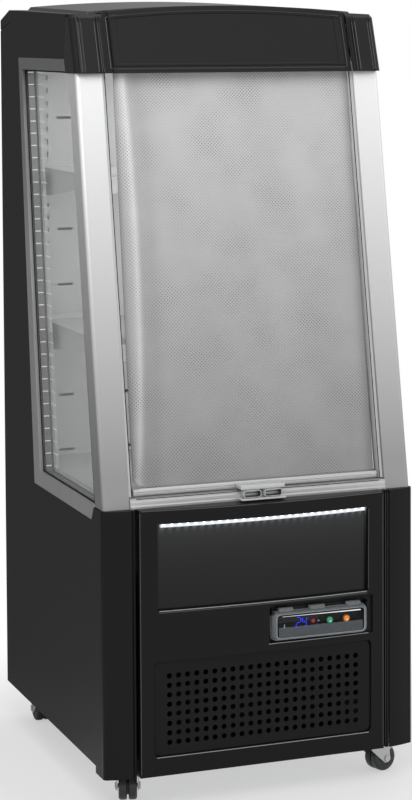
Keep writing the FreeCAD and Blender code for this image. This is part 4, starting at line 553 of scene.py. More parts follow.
# painted light: the posts turn from grey to near-white towards the top
BRIGHT_ALUMINIUM = Finish("bright_aluminium", "989898", 0.42, 0.55, streak=(700, 700, 3), streak_height=0.01,
                          tone=0.05, painted_light_fade=PaintedLightFade("f0f0f0", 600, 1290), edge=1.2)
SILL_ALUMINIUM = Finish("sill_aluminium", "c2c2c2", 0.38, 0.6, streak=(3, 700, 700), streak_height=0.01,
                        tone=0.06, edge=1.0)
# painted shade: the window frames turn darker towards the top
GREY_ALUMINIUM = Finish("grey_aluminium", "a8a8a8", 0.45, 0.5, streak=(900, 900, 3), streak_height=0.01,
                        tone=0.25, painted_light_fade=PaintedLightFade("808080", 950, 1300), edge=1.0)
SPACER_ALUMINIUM = Finish("spacer_aluminium", "8e8e8e", 0.4, 0.8)
FIN_ALUMINIUM = Finish("fin_aluminium", "b5b7b8", 0.4, 0.9)
GALVANISED = Finish("galvanised_steel", "a4a7a9", 0.45, 0.8, tone=0.3, grain_scale=60, edge=0.8)
ZINC = Finish("zinc_steel", "b9bbbd", 0.3, 0.95, edge=0.8)
WHITE_PAINT = Finish("white_paint", "c8c9c8", 0.45, tone=0.03, edge=0.8)
WHITE_LINER = Finish("white_liner", "c2c3c2", 0.5, tone=0.03)
# painted light: the white plastic of the price rails and air outlet glows faintly, as if lit by the display
# lamps
WHITE_PLASTIC_PAINTED_GLOW = Finish("white_plastic", "f0f0f0", 0.35, tone=0.03, glow="ffffff", glow_strength=0.2)
# painted reflection: the glass turns whiter edge-on
CLEAR_GLASS = Finish("clear_glass", "dfe4e2", 0.02, specular=0.4, alpha=0.05, painted_reflection_alpha=0.12)
CLEAR_PLASTIC = Finish("clear_plastic", "3a4046", 0.12, specular=0.3, alpha=0.04)
# painted reflection: the lid's frosted edges turn whiter edge-on
CLEAR_EDGE = Finish("clear_edge", "8f9599", 0.2, specular=0.6, alpha=0.5, painted_reflection_alpha=0.9)
# painted reflection: a grey half-clear sheen over the lower part of the lid's window
LID_PAINTED_SHEEN = Finish("lid_painted_sheen", "757b80", 0.3, specular=0.2, alpha=0.5)
# painted highlight: pale near-opaque rims round the lid's outline and window
LID_RIM_HIGHLIGHT = Finish("lid_rim_painted_highlight", "c3c8cc", 0.2, specular=0.6, alpha=0.9)
# painted highlight: small glowing white spots on the switches and a glint line on the lid
PAINTED_WHITE_GLINT = Finish("painted_white_glint", "f2f4f5", 0.15, glow="f2f4f5", glow_strength=0.35)
LIGHT_LENS = Finish("light_lens", "c4c7ca", 0.3, glow="f4f8ff", glow_strength=0.45)
LAMP_CHIP = Finish("lamp_chip", "f4f7fa", 0.3, glow="f6f9ff", glow_strength=3.5)
DISPLAY_GLOSS = Finish("display_gloss", "06070a", 0.12, specular=0.3)
GREEN_LENS = Finish("green_lens", "16a56e", 0.2, glow="14b67c", glow_strength=0.25, edge=0.5)
AMBER_LENS = Finish("amber_lens", "ef8a14", 0.2, glow="f08a14", glow_strength=0.35, edge=0.5)
GREEN_RING = Finish("green_ring", "0d4a34", 0.25)
AMBER_RING = Finish("amber_ring", "8a4f12", 0.25)
BLUE_FIGURE = Finish("blue_figure", "1c30e0", 0.3, glow="2236ff", glow_strength=0.75)
RED_LAMP = Finish("red_lamp", "7a1028", 0.3, glow="a01438", glow_strength=0.6)
WHITE_MARK = Finish("white_mark", "dcdfe2", 0.4)
# painted light: the blind cloth turns lighter towards the top
BLIND_CLOTH = ClothFinish("blind_cloth", "a6a6a6", 0.8, specular=0.2, tone=0.04, grain_scale=600, grain=0.3,
                          painted_light_fade=PaintedLightFade("dcdcdc", 600, 1280))
BLACK_PAINT = Finish("black_paint", "17181a", 0.3)
GREY_PLASTIC = Finish("grey_plastic", "cfd0d0", 0.28, specular=0.6, tone=0.08, grain_scale=400, edge=1.2)
# darker grey of the same plastic: painted shade inside the pull's cups and on its web
POCKET_PAINTED_SHADE = Finish("pocket_painted_shade", "4c4d4d", 0.35, specular=0.5, tone=0.08)
CASTOR_GREY = Finish("castor_grey", "c6c8ca", 0.34, 0.45, specular=0.5, tone=0.15, grain_scale=200, edge=0.8)
CASTOR_RUBBER = Finish("castor_rubber", "2a2b2d", 0.4, specular=0.5, grain=0.02, tone=0.1)
# black rubber of the window seals; also the black rods and bands that are painted shade in grooves and gaps
SEAL_RUBBER_AND_SHADE = Finish("seal_rubber_and_painted_shade", "111111", 0.55, specular=0.2)
# painted highlight: pale rods along the front's edges
PAINTED_EDGE_HIGHLIGHT = Finish("painted_edge_highlight", "a4a7a9", 0.25, tone=0.1)
# painted highlight: dimmer grey rods along the front's edges and seams
PAINTED_DIM_EDGE_HIGHLIGHT = Finish("painted_dim_edge_highlight", "3e3f3f", 0.25, specular=0.6, tone=0.1)
CANOPY_GLOSS = Finish("canopy_gloss", "262626", 0.3, specular=0.5)
ROOF_SHEET = Finish("roof_sheet", "2a2a2a", 0.25, specular=0.8, edge=1.5)
# painted highlight: the spacer's rows of holes as glowing white bars
PAINTED_ROW_HIGHLIGHT = Finish("painted_row_highlight", "e4e4e4", 0.4, glow="ffffff", glow_strength=0.22)
# painted reflection: fainter glowing bars on the inner pane
PAINTED_REFLECTION_WHITE = Finish("painted_reflection_white", "ffffff", 0.3, alpha=0.45, glow="ffffff", glow_strength=0.35)
GUIDE_GREY = Finish("guide_grey", "d2d3d2", 0.4)
# painted shade: black on the condenser and its fan shroud, dark behind the grille's holes
COIL_PAINTED_SHADE = Finish("coil_painted_shade", "0b0b0b", 0.6, specular=0.1)


# ---------------------------------------------------------------- surfaces
def rounded_outline(x0: float, x1: float, z0: float, z1: float, radius: float, steps: int = 6) -> np.ndarray:
    """Outline of a rectangle with round corners, anticlockwise seen from the front.

    Each corner is its centre plus radius times (cos a, sin a), with a over a quarter turn.

    Args:
        x0: left side.
        x1: right side.
        z0: lower side.
        z1: upper side.
        radius: corner radius.
        steps: points along each corner.

    Returns:
        An array of (x, z) rows.
    """
    radius = max(min(radius, (x1 - x0) / 2 - 0.01, (z1 - z0) / 2 - 0.01), 0.05)
    turn = np.linspace(0, np.pi / 2, steps)
    hubs = [(x1 - radius, z1 - radius, 0), (x0 + radius, z1 - radius, 1),
            (x0 + radius, z0 + radius, 2), (x1 - radius, z0 + radius, 3)]
    sweeps = [np.stack([cx + radius * np.cos(turn + quarter * np.pi / 2),
                        cz + radius * np.sin(turn + quarter * np.pi / 2)], -1) for cx, cz, quarter in hubs]
    return np.concatenate(sweeps)


def drawn_in(outline: Sequence[float], inset: float, radius: float, steps: int = 6) -> np.ndarray:
    """Round-cornered outline of the rectangle x0, x1, z0, z1, made smaller by an inset on every side."""
    x0, x1, z0, z1 = outline
    return rounded_outline(x0 + inset, x1 - inset, z0 + inset, z1 - inset, radius, steps)


class Skin:
    """Gathers surface patches in millimetres and turns them into one piece."""

    def __init__(self, name: str) -> None:
        """Start empty.

        Args:
            name: the piece's name.
        """
        self.name = name
        self.points: list[np.ndarray] = []
        self.faces: list[list[int]] = []
        self.kinds: list[int] = []
        self.flat: list[np.ndarray] = []
        self.painted_light_values: list[np.ndarray] = []
        self.count = 0

    def patch(self, rows: np.ndarray, loop: bool = True, caps: tuple[bool, bool] = (True, True), kind: int = 0,
              flat: np.ndarray | None = None, painted_light: np.ndarray | None = None) -> "Skin":
        """Add a grid of points as quads: row r, column c joins (r, c+1), (r+1, c+1) and (r+1, c).

        Args:
            rows: array of rows by columns by 3.
            loop: whether the last column joins the first.
            caps: whether the first and the last row are closed by a flat face.
            kind: index of the finish.
            flat: the cloth's cut, rows by columns by 2, in millimetres.
            painted_light: painted light and shade, a brightness for each point, rows by columns.

        Returns:
            This skin.
        """
        height, width = rows.shape[:2]
        index = self.count + np.arange(height * width).reshape(height, width)
        here = index if loop else index[:, :-1]
        after = np.roll(index, -1, axis=1) if loop else index[:, 1:]
        quads = np.stack([here[:-1], after[:-1], after[1:], here[1:]], -1).reshape(-1, 4)
        self.faces += quads.tolist()
        self.kinds += [kind] * len(quads)
        for wanted, row in ((caps[0], index[0][::-1]), (caps[1], index[-1])):
            if wanted and loop:
                self.faces.append(row.tolist())
                self.kinds.append(kind)
        self.points.append(rows.reshape(-1, 3))
        self.flat.append(np.zeros((height * width, 2)) if flat is None else flat.reshape(-1, 2))
        self.painted_light_values.append(np.ones(height * width) if painted_light is None else painted_light.ravel())
        self.count += height * width
        return self

    def block(self, outline: Sequence[float], rings: Sequence[tuple[float, float]], radius: float,
              kind: int = 0, steps: int = 6) -> "Skin":
        """Add a moulded block: the round-cornered outline drawn in by each ring's inset, at that ring's Y.

        Args:
            outline: x0, x1, z0, z1.
            rings: (inset, y) from the back to the front.
            radius: corner radius at no inset.
            kind: index of the finish.
            steps: points along each corner.

        Returns:
            This skin.
        """
        rows = [at_depth(drawn_in(outline, inset, radius - inset, steps), y) for inset, y in rings]
        return self.patch(np.array(rows), kind=kind)

    def box(self, low: Sequence[float], high: Sequence[float]) -> "Skin":
        """Add a plain box between its lowest and highest corner."""
        (x0, y0, z0), (x1, y1, z1) = low, high
        plan = np.array([(x0, y0), (x1, y0), (x1, y1), (x0, y1)], float)
        return self.patch(np.stack([np.column_stack([plan, np.full(4, z)]) for z in (z0, z1)]))

    def rod(self, path: np.ndarray, radius: float, sides: int = 8) -> "Skin":
        """Add a thin round rod along a path: path + radius*(cos a * u + sin a * w), square to the whole run.

        Args:
            path: points by 3.
            radius: the rod's radius.
            sides: points round the rod.

        Returns:
            This skin.
        """
        ring = radius * ring_about(path[-1] - path[0], sides)
        return self.patch(path[:, None] + ring[None])

    def turned(self, profile: Sequence[tuple[float, float]], centre: Sequence[float],
               axis: Sequence[float] = FRONT, sides: int = 32, kind: int = 0) -> "Skin":
        """Add a turned shape: centre + axis*along + radius*(cos a * u + sin a * w).

        Args:
            profile: (radius, along) from one end to the other, closed by flat ends.
            centre: where along is 0.
            axis: any vector along the axis.
            sides: points round the turn.
            kind: index of the finish.

        Returns:
            This skin.
        """
        axis = np.asarray(axis, float) / np.linalg.norm(axis)
        shape = np.asarray(profile, float)[:, :, None, None]
        rows = np.asarray(centre) + shape[:, 1] * axis + shape[:, 0] * ring_about(axis, sides)
        return self.patch(rows, kind=kind)

    def build(self, finishes: Sequence[Finish], body: str = ROOT, slot: str = "dark_plastic",
              instead_of: Sequence[str] = (), smooth: float = 35.0, closed: bool = True) -> bpy.types.Object:
        """Make the object, dress it and let it ride on its body.

        Args:
            finishes: a finish for each kind.
            body: the CAD body that carries it.
            slot: the record's material slot; not used.
            instead_of: CAD nodes that it stands for.
            smooth: edges sharper than this many degrees stay sharp.
            closed: whether the faces are turned outwards as a closed shell.

        Returns:
            The object.
        """
        mesh = bpy.data.meshes.new(self.name)
        mesh.from_pydata((np.concatenate(self.points) * MM).tolist(), [], self.faces)
        mesh.polygons.foreach_set("material_index", self.kinds)
        # painted light and shade for each point, read by the cloth's finish
        mesh.attributes.new("painted_light", "FLOAT", "POINT").data.foreach_set("value", np.concatenate(self.painted_light_values))
        layer = mesh.uv_layers.new(name="cut")
        owner = np.zeros(len(mesh.loops), np.int32)
        mesh.loops.foreach_get("vertex_index", owner)
        layer.data.foreach_set("uv", (np.concatenate(self.flat)[owner] * MM).astype(np.float32).ravel())
        for finish in finishes:
            mesh.materials.append(finish.material())
        work = bmesh.new()
        work.from_mesh(mesh)
        bmesh.ops.remove_doubles(work, verts=work.verts, dist=1e-6)
        if closed:
            bmesh.ops.recalc_face_normals(work, faces=work.faces)
        work.to_mesh(mesh)
        work.free()
        mesh.shade_smooth()
        mesh.set_sharp_from_angle(angle=math.radians(smooth))
        piece = bpy.data.objects.new(self.name, mesh)
        bpy.context.scene.collection.objects.link(piece)
        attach(piece, body)
        if instead_of:
            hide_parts(*instead_of)
        LOG.info("%s: %d faces on %s", self.name, len(mesh.polygons), body)
        return piece


# ---------------------------------------------------------------- night blind
@dataclass
class NightBlind:
    """Perforated cloth from the roller to its bottom bar, and the pull handle."""

    columns: int = 161
    rows: int = 181
    wrap_rows: int = 24             # how many of the rows lie round the roller
    wrap_share: float = 0.9         # how much of a half turn they cover
    clearance: float = 1.2          # between the roller and the middle of the cloth
    bunching: float = 0.12          # columns closer together near both edges
    thickness: float = 0.6
    spare_left: float = 3.5         # how far the cloth's foot reaches past the CAD cloth on the left
    shift_left: float = 12.5        # the cloth runs a little to the right towards the top
    shift_right: float = 7.0
    ridge: float = 8.0              # soft fold beside the left edge
    ridge_near: float = 9.0         # the fold's distance from the edge at both ends
    ridge_far: float = 17.0         # and how much further it wanders in the middle
    ridge_width: float = 11.0
    curl_width: float = 36.0        # lifted lower left corner
    curl_height: float = 17.0
    curl_lift: float = 8.0
    overlap: float = 15.0           # a stretch above the roller's touch

    def _crest(self, v: np.ndarray, left: np.ndarray) -> np.ndarray:
        """X of the fold's crest: near the edge at both ends, further in between them by a sine."""
        return left + self.ridge_near + self.ridge_far * np.sin(np.pi * np.clip(v, 0, 1)) ** 0.8

    def _painted_light(self, x: np.ndarray, v: np.ndarray, left: np.ndarray, right: np.ndarray) -> np.ndarray:
        """Painted light and shade on the cloth: bright on the fold's crest, darker at both side edges.

        1 + 0.45 e^-((x-c)/9)^2 - 0.35 e^-((x-left)/7)^2 - 0.3 e^-((right-x)/13)^2 - 0.12 e^-((x-c-30)/18)^2.
        """
        crest = self._crest(v, left)
        return (1 + 0.45 * np.exp(-((x - crest) / 9) ** 2) * np.clip(1.15 - 0.5 * v, 0, 1)
                - 0.35 * np.exp(-((x - left) / 7) ** 2) - 0.3 * np.exp(-((right - x) / 13) ** 2)
                - 0.12 * np.exp(-((x - crest - 30) / 18) ** 2)
                + 0.03 * np.sin(x / 23 + 3 * v) * np.sin(x / 61 + 9 * v))

    def _bulge(self, x: np.ndarray, v: np.ndarray, left: np.ndarray) -> np.ndarray:
        """Distance of the cloth ahead of its plane.

        A rounded ridge beside the left edge, a dip behind it, slow waves across, and the lifted corner:
        ridge*(e^-((x-c)/w)^2 - 0.4 e^-((x-c-d)/1.3w)^2) + waves, and lift*(1-x/a)^1.5*(1-v/b)^1.2.

        Args:
            x: place across.
            v: share of the height, 0 at the bar.
            left: the cloth's left edge.

        Returns:
            The distances.
        """
        crest = self._crest(v, left)
        first = np.exp(-((x - crest) / self.ridge_width) ** 2)
        dip = np.exp(-((x - crest - 2.4 * self.ridge_width) / (1.3 * self.ridge_width)) ** 2)
        strength = np.clip(v / 0.06, 0, 1) * np.clip((1.05 - v) / 0.15, 0.25, 1)
        waves = (0.9 * np.sin(x / 31 + 2.1 * v) * np.sin(np.pi * np.clip(v, 0, 1))
                 + 0.5 * np.sin(x / 12 + 5 * v) * v)
        return strength * self.ridge * (first - 0.4 * dip) + strength * waves

    def cloth(self) -> bpy.types.Object:
        """Build the cloth as rows up the lean and then round the roller.

        A point is plane(z) + bulge*normal up to the roller, and axis + radius*(-cos a, sin a) round it.

        Returns:
            The cloth.
        """
        _, bar_high = corners("blind_bar")
        roll_low, roll_high = corners("blind_roller")
        cloth_low, cloth_high = corners("blind_fabric")
        axis_y, axis_z = (roll_low[1] + roll_high[1]) / 2, (roll_low[2] + roll_high[2]) / 2
        radius = (roll_high[2] - roll_low[2]) / 2 + self.clearance
        foot = bar_high[2] - 1.0
        touch_z = axis_z + radius * math.sin(LEAN)
        touch_y = axis_y - radius * math.cos(LEAN)
        bottom_y = touch_y - (touch_z - foot) * math.tan(LEAN)
        run = (touch_z - foot) / math.cos(LEAN)
        wrap = radius * math.pi * self.wrap_share
        along = np.concatenate([np.linspace(0, run, self.rows - self.wrap_rows),
                                run + np.linspace(0, wrap, self.wrap_rows + 1)[1:]])
        v = along / run
        straight = np.minimum(along, run)
        turn = np.maximum(along - run, 0) / radius
        base_y = bottom_y + straight * math.sin(LEAN)
        base_z = foot + straight * math.cos(LEAN)
        angle = LEAN + turn
        base_y = np.where(turn > 0, axis_y - radius * np.cos(angle), base_y)
        base_z = np.where(turn > 0, axis_z + radius * np.sin(angle), base_z)
        rise = np.clip(v / 0.92, 0, 1) * np.clip((1.04 - v) / 0.06, 0.2, 1)
        left = cloth_low[0] - self.spare_left + self.shift_left * rise
        right = cloth_high[0] + self.shift_right * rise
        u = np.linspace(0, 1, self.columns)
        u = u - self.bunching * np.sin(2 * np.pi * u) / (2 * np.pi)
        x = left[:, None] + (right - left)[:, None] * u[None]
        bulge = self._bulge(x, v[:, None] * np.ones_like(x), left[:, None] * np.ones_like(x))
        bulge = np.where(v[:, None] > 0.99, 0.0, bulge)
        corner = (np.clip(1 - (x - left[:, None]) / self.curl_width, 0, 1) ** 1.5
                  * np.clip(1 - along[:, None] / self.curl_height, 0, 1) ** 1.2)
        normal_y, normal_z = -np.cos(angle)[:, None], np.sin(angle)[:, None]
        out = bulge + self.curl_lift * corner
        rows = np.stack([x + 3 * corner, base_y[:, None] + normal_y * out,
                         base_z[:, None] + normal_z * out + 9 * corner], -1)
        cut = np.stack([x, np.broadcast_to(along[:, None], x.shape)], -1)
        # painted light and shade: bright on the fold's crest, darker at the side edges
        painted_light = self._painted_light(x, v[:, None], left[:, None], right[:, None])
        skin = Skin("blind_cloth").patch(rows, loop=False, caps=(False, False), flat=cut, painted_light=painted_light)
        piece = skin.build([BLIND_CLOTH], slot="blind_cloth", instead_of=["blind_fabric"], smooth=60,
                           closed=False)
        self._thicken(piece)
        piece.parent = None
        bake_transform(piece)
        return piece

    def _thicken(self, piece: bpy.types.Object) -> None:
        """Give the cloth its thickness with a Solidify modifier and keep the result."""
        solid = piece.modifiers.new("thickness", "SOLIDIFY")
        solid.thickness = self.thickness * MM
        solid.offset = 0.0
        view = bpy.context.evaluated_depsgraph_get()
        made = bpy.data.meshes.new_from_object(piece.evaluated_get(view))
        piece.modifiers.clear()
        piece.data = made

    def handle(self) -> bpy.types.Object:
        """Build the moulded pull: a flange, a thin lip and two finger cups, with the cups' insides and the web
        behind them darker as painted shade.
        """
        low, high = corners("blind_handle")
        x0, x1, back, front = low[0], high[0], high[1], low[1]
        skin = Skin("pull_handle")
        soft = 1.6
        flange = [(soft, back - 1), (0.4, back - 2), (0, back - 4), (0, front + 9), (0.5, front + 7),
                  (2, front + 6)]
        skin.block((x0, x1, high[2] - 9.0, high[2]), flange, 3.5)
        # the web behind the cups, darker as painted shade
        skin.block((x0 + 3, x1 - 3, low[2] + 2.5, high[2] - 6), [(0, back - 1), (0, back - 5)], 2.0, kind=1)
        lip = [(0.6, back - 1), (0, back - 2), (0, front + 2), (0.4, front + 0.8), (1.0, front + 0.3)]
        skin.block((x0, x1, low[2] + 0.2, low[2] + 3.4), lip, 1.5)
        middle = (x0 + x1) / 2
        for side in (-1, 1):
            near, far = middle + side * 3.0, middle + side * (x1 - middle - 6.0)
            left, right = min(near, far), max(near, far)
            self._cup(skin, left, right, low[2] + 4.2, high[2] - 9.6, back - 4, front + 6)
        return skin.build([GREY_PLASTIC, POCKET_PAINTED_SHADE], body="blind", slot="grey_plastic",
                          instead_of=["blind_handle"])

    @staticmethod
    def _cup(skin: Skin, x0: float, x1: float, z0: float, z1: float, back: float, front: float) -> None:
        """Add one finger cup: a round-cornered tube with a rolled rim, open to the front, its inside darker as
        painted shade.

        Args:
            skin: where it goes.
            x0: left side.
            x1: right side.
            z0: lower side.
            z1: upper side.
            back: the Y where the cup starts.
            front: the Y of its rim.
        """
        wall, radius = 2.0, 4.5
        outside = [(0, back), (0, front + 1.2), (0.6, front + 0.3), (wall / 2, front),
                   (wall - 0.5, front + 0.3)]
        inside = [(wall, front + 1.2), (wall, back)]
        rings = [at_depth(drawn_in((x0, x1, z0, z1), inset, radius - inset * 0.7), y)
                 for inset, y in outside + inside]
        skin.patch(np.array(rings[:5]), caps=(False, False))
        # the cup's inside, darker as painted shade
        skin.patch(np.array(rings[4:]), caps=(False, True), kind=1)

    def build(self) -> None:
        """Make the cloth and the handle."""
        self.cloth()
        self.handle()


# ---------------------------------------------------------------- grille
@dataclass
class GrilleSheet:
    """Sheet with rows of round holes, in place of the coarse-holed CAD sheet."""

    pitch: float = 17.2
    radius: float = 4.6
    columns: int = 22
    rows: int = 8
    drop: float = 2.0
    sides: int = 16
    corner: float = 9.0
    edge_round: float = 1.2
    thickness: float = 2.0

    def build(self) -> bpy.types.Object:
        """Build the field of holes and the plain margin round it.

        Each cell runs from its hole's circle, r*(cos a, sin a), out to the cell's square border, which is
        the same direction divided by the larger of |cos a| and |sin a|. The hole's wall goes back by the sheet.

        Returns:
            The sheet.
        """
        low, high = corners("grille_panel")
        front, back = low[1], low[1] + self.thickness
        middle_x, middle_z = (low[0] + high[0]) / 2, (low[2] + high[2]) / 2 - self.drop
        turn = np.linspace(0, 2 * np.pi, self.sides, endpoint=False)
        circle = np.stack([np.cos(turn), np.sin(turn)], -1)
        square = circle / np.abs(circle).max(1, keepdims=True) * self.pitch / 2
        plans = [(circle * (self.radius - 0.2), back), (circle * self.radius, front + 0.8),
                 (circle * (self.radius + 0.5), front), (square, front)]
        cell = np.stack([at_depth(plan, y) for plan, y in plans])
        skin = Skin("grille_sheet")
        for row in range(self.rows):
            for column in range(self.columns):
                place = np.array([middle_x + (column - (self.columns - 1) / 2) * self.pitch, 0,
                                  middle_z + (row - (self.rows - 1) / 2) * self.pitch])
                skin.patch(cell + place, caps=(False, False))
        half_x, half_z = self.columns * self.pitch / 2, self.rows * self.pitch / 2
        outer = rounded_outline(low[0], high[0], low[2], high[2], self.corner, 8)
        ray = outer - np.array([middle_x, middle_z])
        edge = rounded_outline(middle_x - half_x, middle_x + half_x, middle_z - half_z, middle_z + half_z,
                               0.06, 8)
        drawn_in = outer - np.sign(ray) * self.edge_round
        rings = [(edge, front), (drawn_in, front), (outer, front + 1.0), (outer, back + 3.5)]
        skin.patch(np.stack([at_depth(plan, y) for plan, y in rings]), caps=(False, False))
        return skin.build([DARK_SHEET], slot="dark_sheet", instead_of=["grille_panel"], closed=False)


# ---------------------------------------------------------------- lamp strip and edges of the front
@dataclass
class LampStrip:
    """Row of small lamps under the front panel's upper lip."""

    lamps: int = 27
    width: float = 5.0
    height: float = 3.0

    def build(self) -> bpy.types.Object:
        """Set a small domed lamp at each equal step along the strip's bow.

        Each lamp's Y is read, between the strip's own front points, at the lamp's x.

        Returns:
            The row of lamps.
        """
        _, high = corners("led_strip")
        half = high[0] - 5.0
        points = points_of("led_strip")
        marks = np.unique(np.round(points[:, 0], 1))
        fronts = [points[np.abs(points[:, 0] - mark) < 0.2, 1].min() for mark in marks]
        skin = Skin("lamp_chips")
        xs = np.linspace(-half, half, self.lamps)
        for x, y in zip(xs, np.interp(xs, marks, fronts)):
            box = (x - self.width / 2, x + self.width / 2, high[2] - 0.4 - self.height, high[2] - 0.4)
            skin.block(box, [(0, y + 1.5), (0, y - 0.2), (0.6, y - 0.9)], 0.8, steps=3)
        return skin.build([LAMP_CHIP], slot="light_lens")


@dataclass
class FrontTrim:
    """Thin edges of the front and the canopy mouldings: pale rods as painted highlights, black rods and bands
    as painted shade, glossy rods that catch the light.
    """

    fine: float = 0.8
    foot: float = 68.0              # lower and upper end of the upright edges
    head: float = 538.0
    lip: float = 541.4              # height of the front panel's upper lip
    lip_radius: float = 1.0
    panel_edge: float = 234.6       # x of the panel's side edge
    corner_edge: float = 243.0      # x of each corner moulding's inner and outer edge
    corner_turn: float = 248.0
    cap_head: float = 1404.0
    cap_ridges: tuple = ((246.5, 0.9), (250.5, 0.7), (256.5, 1.2), (282, 0.8), (287, 1.2))  # x and radius
    # x of the black band's edges on each cap, a band of painted shade
    cap_shade_band: tuple[float, float] = (242.5, 252.5)

    @staticmethod
    def _across(node: str, x0: float, x1: float, z: float, gap: float = 0.0,
                room: float = 0.0) -> np.ndarray:
        """Path along a node's front at one height, a gap ahead of it, and room behind the CAD box's front."""
        xs = np.linspace(x0, x1, 61)
        ys = np.maximum(front_of(node, xs, np.full_like(xs, z)) - gap, START_BOUNDS[0][1] / MM + room)
        return np.stack([xs, ys, np.full_like(xs, z)], -1)

    @staticmethod
    def _upright(node: str, x: float, z0: float, z1: float, gap: float = 0.0) -> np.ndarray:
        """Path up a node's front at one x, a gap ahead of it."""
        zs = np.linspace(z0, z1, 25)
        return np.stack([np.full_like(zs, x), front_of(node, np.full_like(zs, x), zs) - gap, zs], -1)

    def _lower(self) -> None:
        """Edge the front moulding, its openings and the corner mouldings with pale and grey rods as painted
        highlights.
        """
        highlights, dim_highlights = Skin("front_edges_painted_highlight"), Skin("front_edges_painted_dim_highlight")
        low, high = corners("promo_panel")
        highlights.rod(self._across("front_panel", low[0] + 2, high[0] - 2, low[2] - 1.0), self.fine)
        dim_highlights.rod(self._across("front_panel", low[0] + 2, high[0] - 2, low[2] - 4.0), self.fine)
        dim_highlights.rod(self._upright("front_panel", high[0] + 1.6, low[2] + 4, high[2] - 3), 0.6)
        low, high = corners("grille_panel")
        highlights.rod(self._across("front_panel", low[0] + 4, high[0] - 4, low[2] - 1.6), 0.7)
        low, high = corners("control_housing")
        highlights.rod(self._across("front_panel", low[0] - 4, high[0] + 4, low[2] - 3.6), 0.6)
        lip = self._across("front_panel", -233, 233, self.lip, -0.3, self.lip_radius - 0.04)
        dim_highlights.rod(lip, self.lip_radius)
        for side, name in SIDES:
            corner = f"lower_corner_{name}"
            for node, x, gap, radius in (("front_panel", self.panel_edge, -0.4, self.fine),
                                         (corner, self.corner_edge, -0.3, self.fine),
                                         (corner, self.corner_turn, 0.0, 0.5)):
                dim_highlights.rod(self._upright(node, side * x, self.foot, self.head, gap), radius)
        highlights.build([PAINTED_EDGE_HIGHLIGHT])
        dim_highlights.build([PAINTED_DIM_EDGE_HIGHLIGHT])

    def _canopy(self) -> None:
        """Lay the fascia's frame with a black rod inside it as painted shade of a groove, and the ridges and a
        black band of painted shade on each cap.
        """
        low, high = corners("canopy_fascia")
        # the inner black rod is painted shade, standing in for a groove
        for name, inset, radius, finish in (("canopy_frame", 8.0, 1.8, CANOPY_GLOSS),
                                            ("canopy_groove_shade", 13.0, 1.0, SEAL_RUBBER_AND_SHADE)):
            rods = Skin(name)
            rods.rod(self._across("canopy_fascia", low[0] + inset, high[0] - inset, low[2] + inset), radius)
            xs = np.linspace(low[0] + inset, high[0] - inset, 61)
            zs = top_of("canopy_fascia", xs, low[1] + 50) - inset - 1
            rods.rod(np.stack([xs, front_of("canopy_fascia", xs, zs), zs], -1), radius)
            for side in (-1, 1):
                post = self._upright("canopy_fascia", side * (high[0] - inset), low[2] + inset, zs[0])
                rods.rod(post, radius)
            rods.build([finish], slot="dark_plastic")
        ridges, shade_bands = Skin("cap_ridges"), Skin("cap_shade_bands")
        for side, name in SIDES:
            node = f"canopy_cap_{name}"
            for x, radius in self.cap_ridges:
                ridges.rod(self._upright(node, side * x, low[2] + 3, self.cap_head, -0.2), radius)
            # a flat black ribbon between the band's edges: painted shade
            edge = [self._upright(node, side * x, low[2] + 3, self.cap_head, 0.15) for x in self.cap_shade_band]
            shade_bands.patch(np.array(edge), loop=False, caps=(False, False))
        ridges.build([CANOPY_GLOSS])
        shade_bands.build([SEAL_RUBBER_AND_SHADE], closed=False)

    def _sill_groove_shade(self) -> None:
        """Lay a black rod along the sill's upper edge as the painted shade of a groove."""
        groove = Skin("sill_groove_shade")
        low, high = corners("sill_profile")
        xs = np.linspace(low[0] + 12, high[0] - 12, 31)
        top = np.full_like(xs, high[2] - 1.0)
        # a black rod as painted shade
        groove.rod(np.stack([xs, front_of("sill_profile", xs, top) - 0.1, top], -1), 0.7)
        groove.build([SEAL_RUBBER_AND_SHADE], slot="black_plastic")

    def build(self) -> None:
        """Make every edge."""
        self._lower()
        self._canopy()
        self._sill_groove_shade()


@dataclass
class UprightBacking:
    """Light backing inside the slotted uprights, so that their slots read as shallow."""

    inset: float = 0.4
    depth: float = 1.6

    def build(self) -> None:
        """Put a flat strip behind the slots of each upright."""
        low, high = corners("shelf_uprights")
        skin = Skin("upright_backing")
        for side in (-1, 1):
            ends = side * (high[0] - self.inset), side * (high[0] - 20 + self.inset)
            near = low[1] + self.depth
            skin.box((min(ends), near, low[2] + 1), (max(ends), near + 0.6, high[2] - 1))
        skin.build([WHITE_LINER], slot="white_paint")


# ---------------------------------------------------------------- controls
SEGMENTS = {"a": (0, 2, 1, 2), "b": (1, 2, 1, 1), "c": (1, 1, 1, 0), "d": (0, 0, 1, 0),
            "e": (0, 0, 0, 1), "f": (0, 1, 0, 2), "g": (0, 1, 1, 1)}
FIGURES = {"2": "abged", "4": "fgbc"}


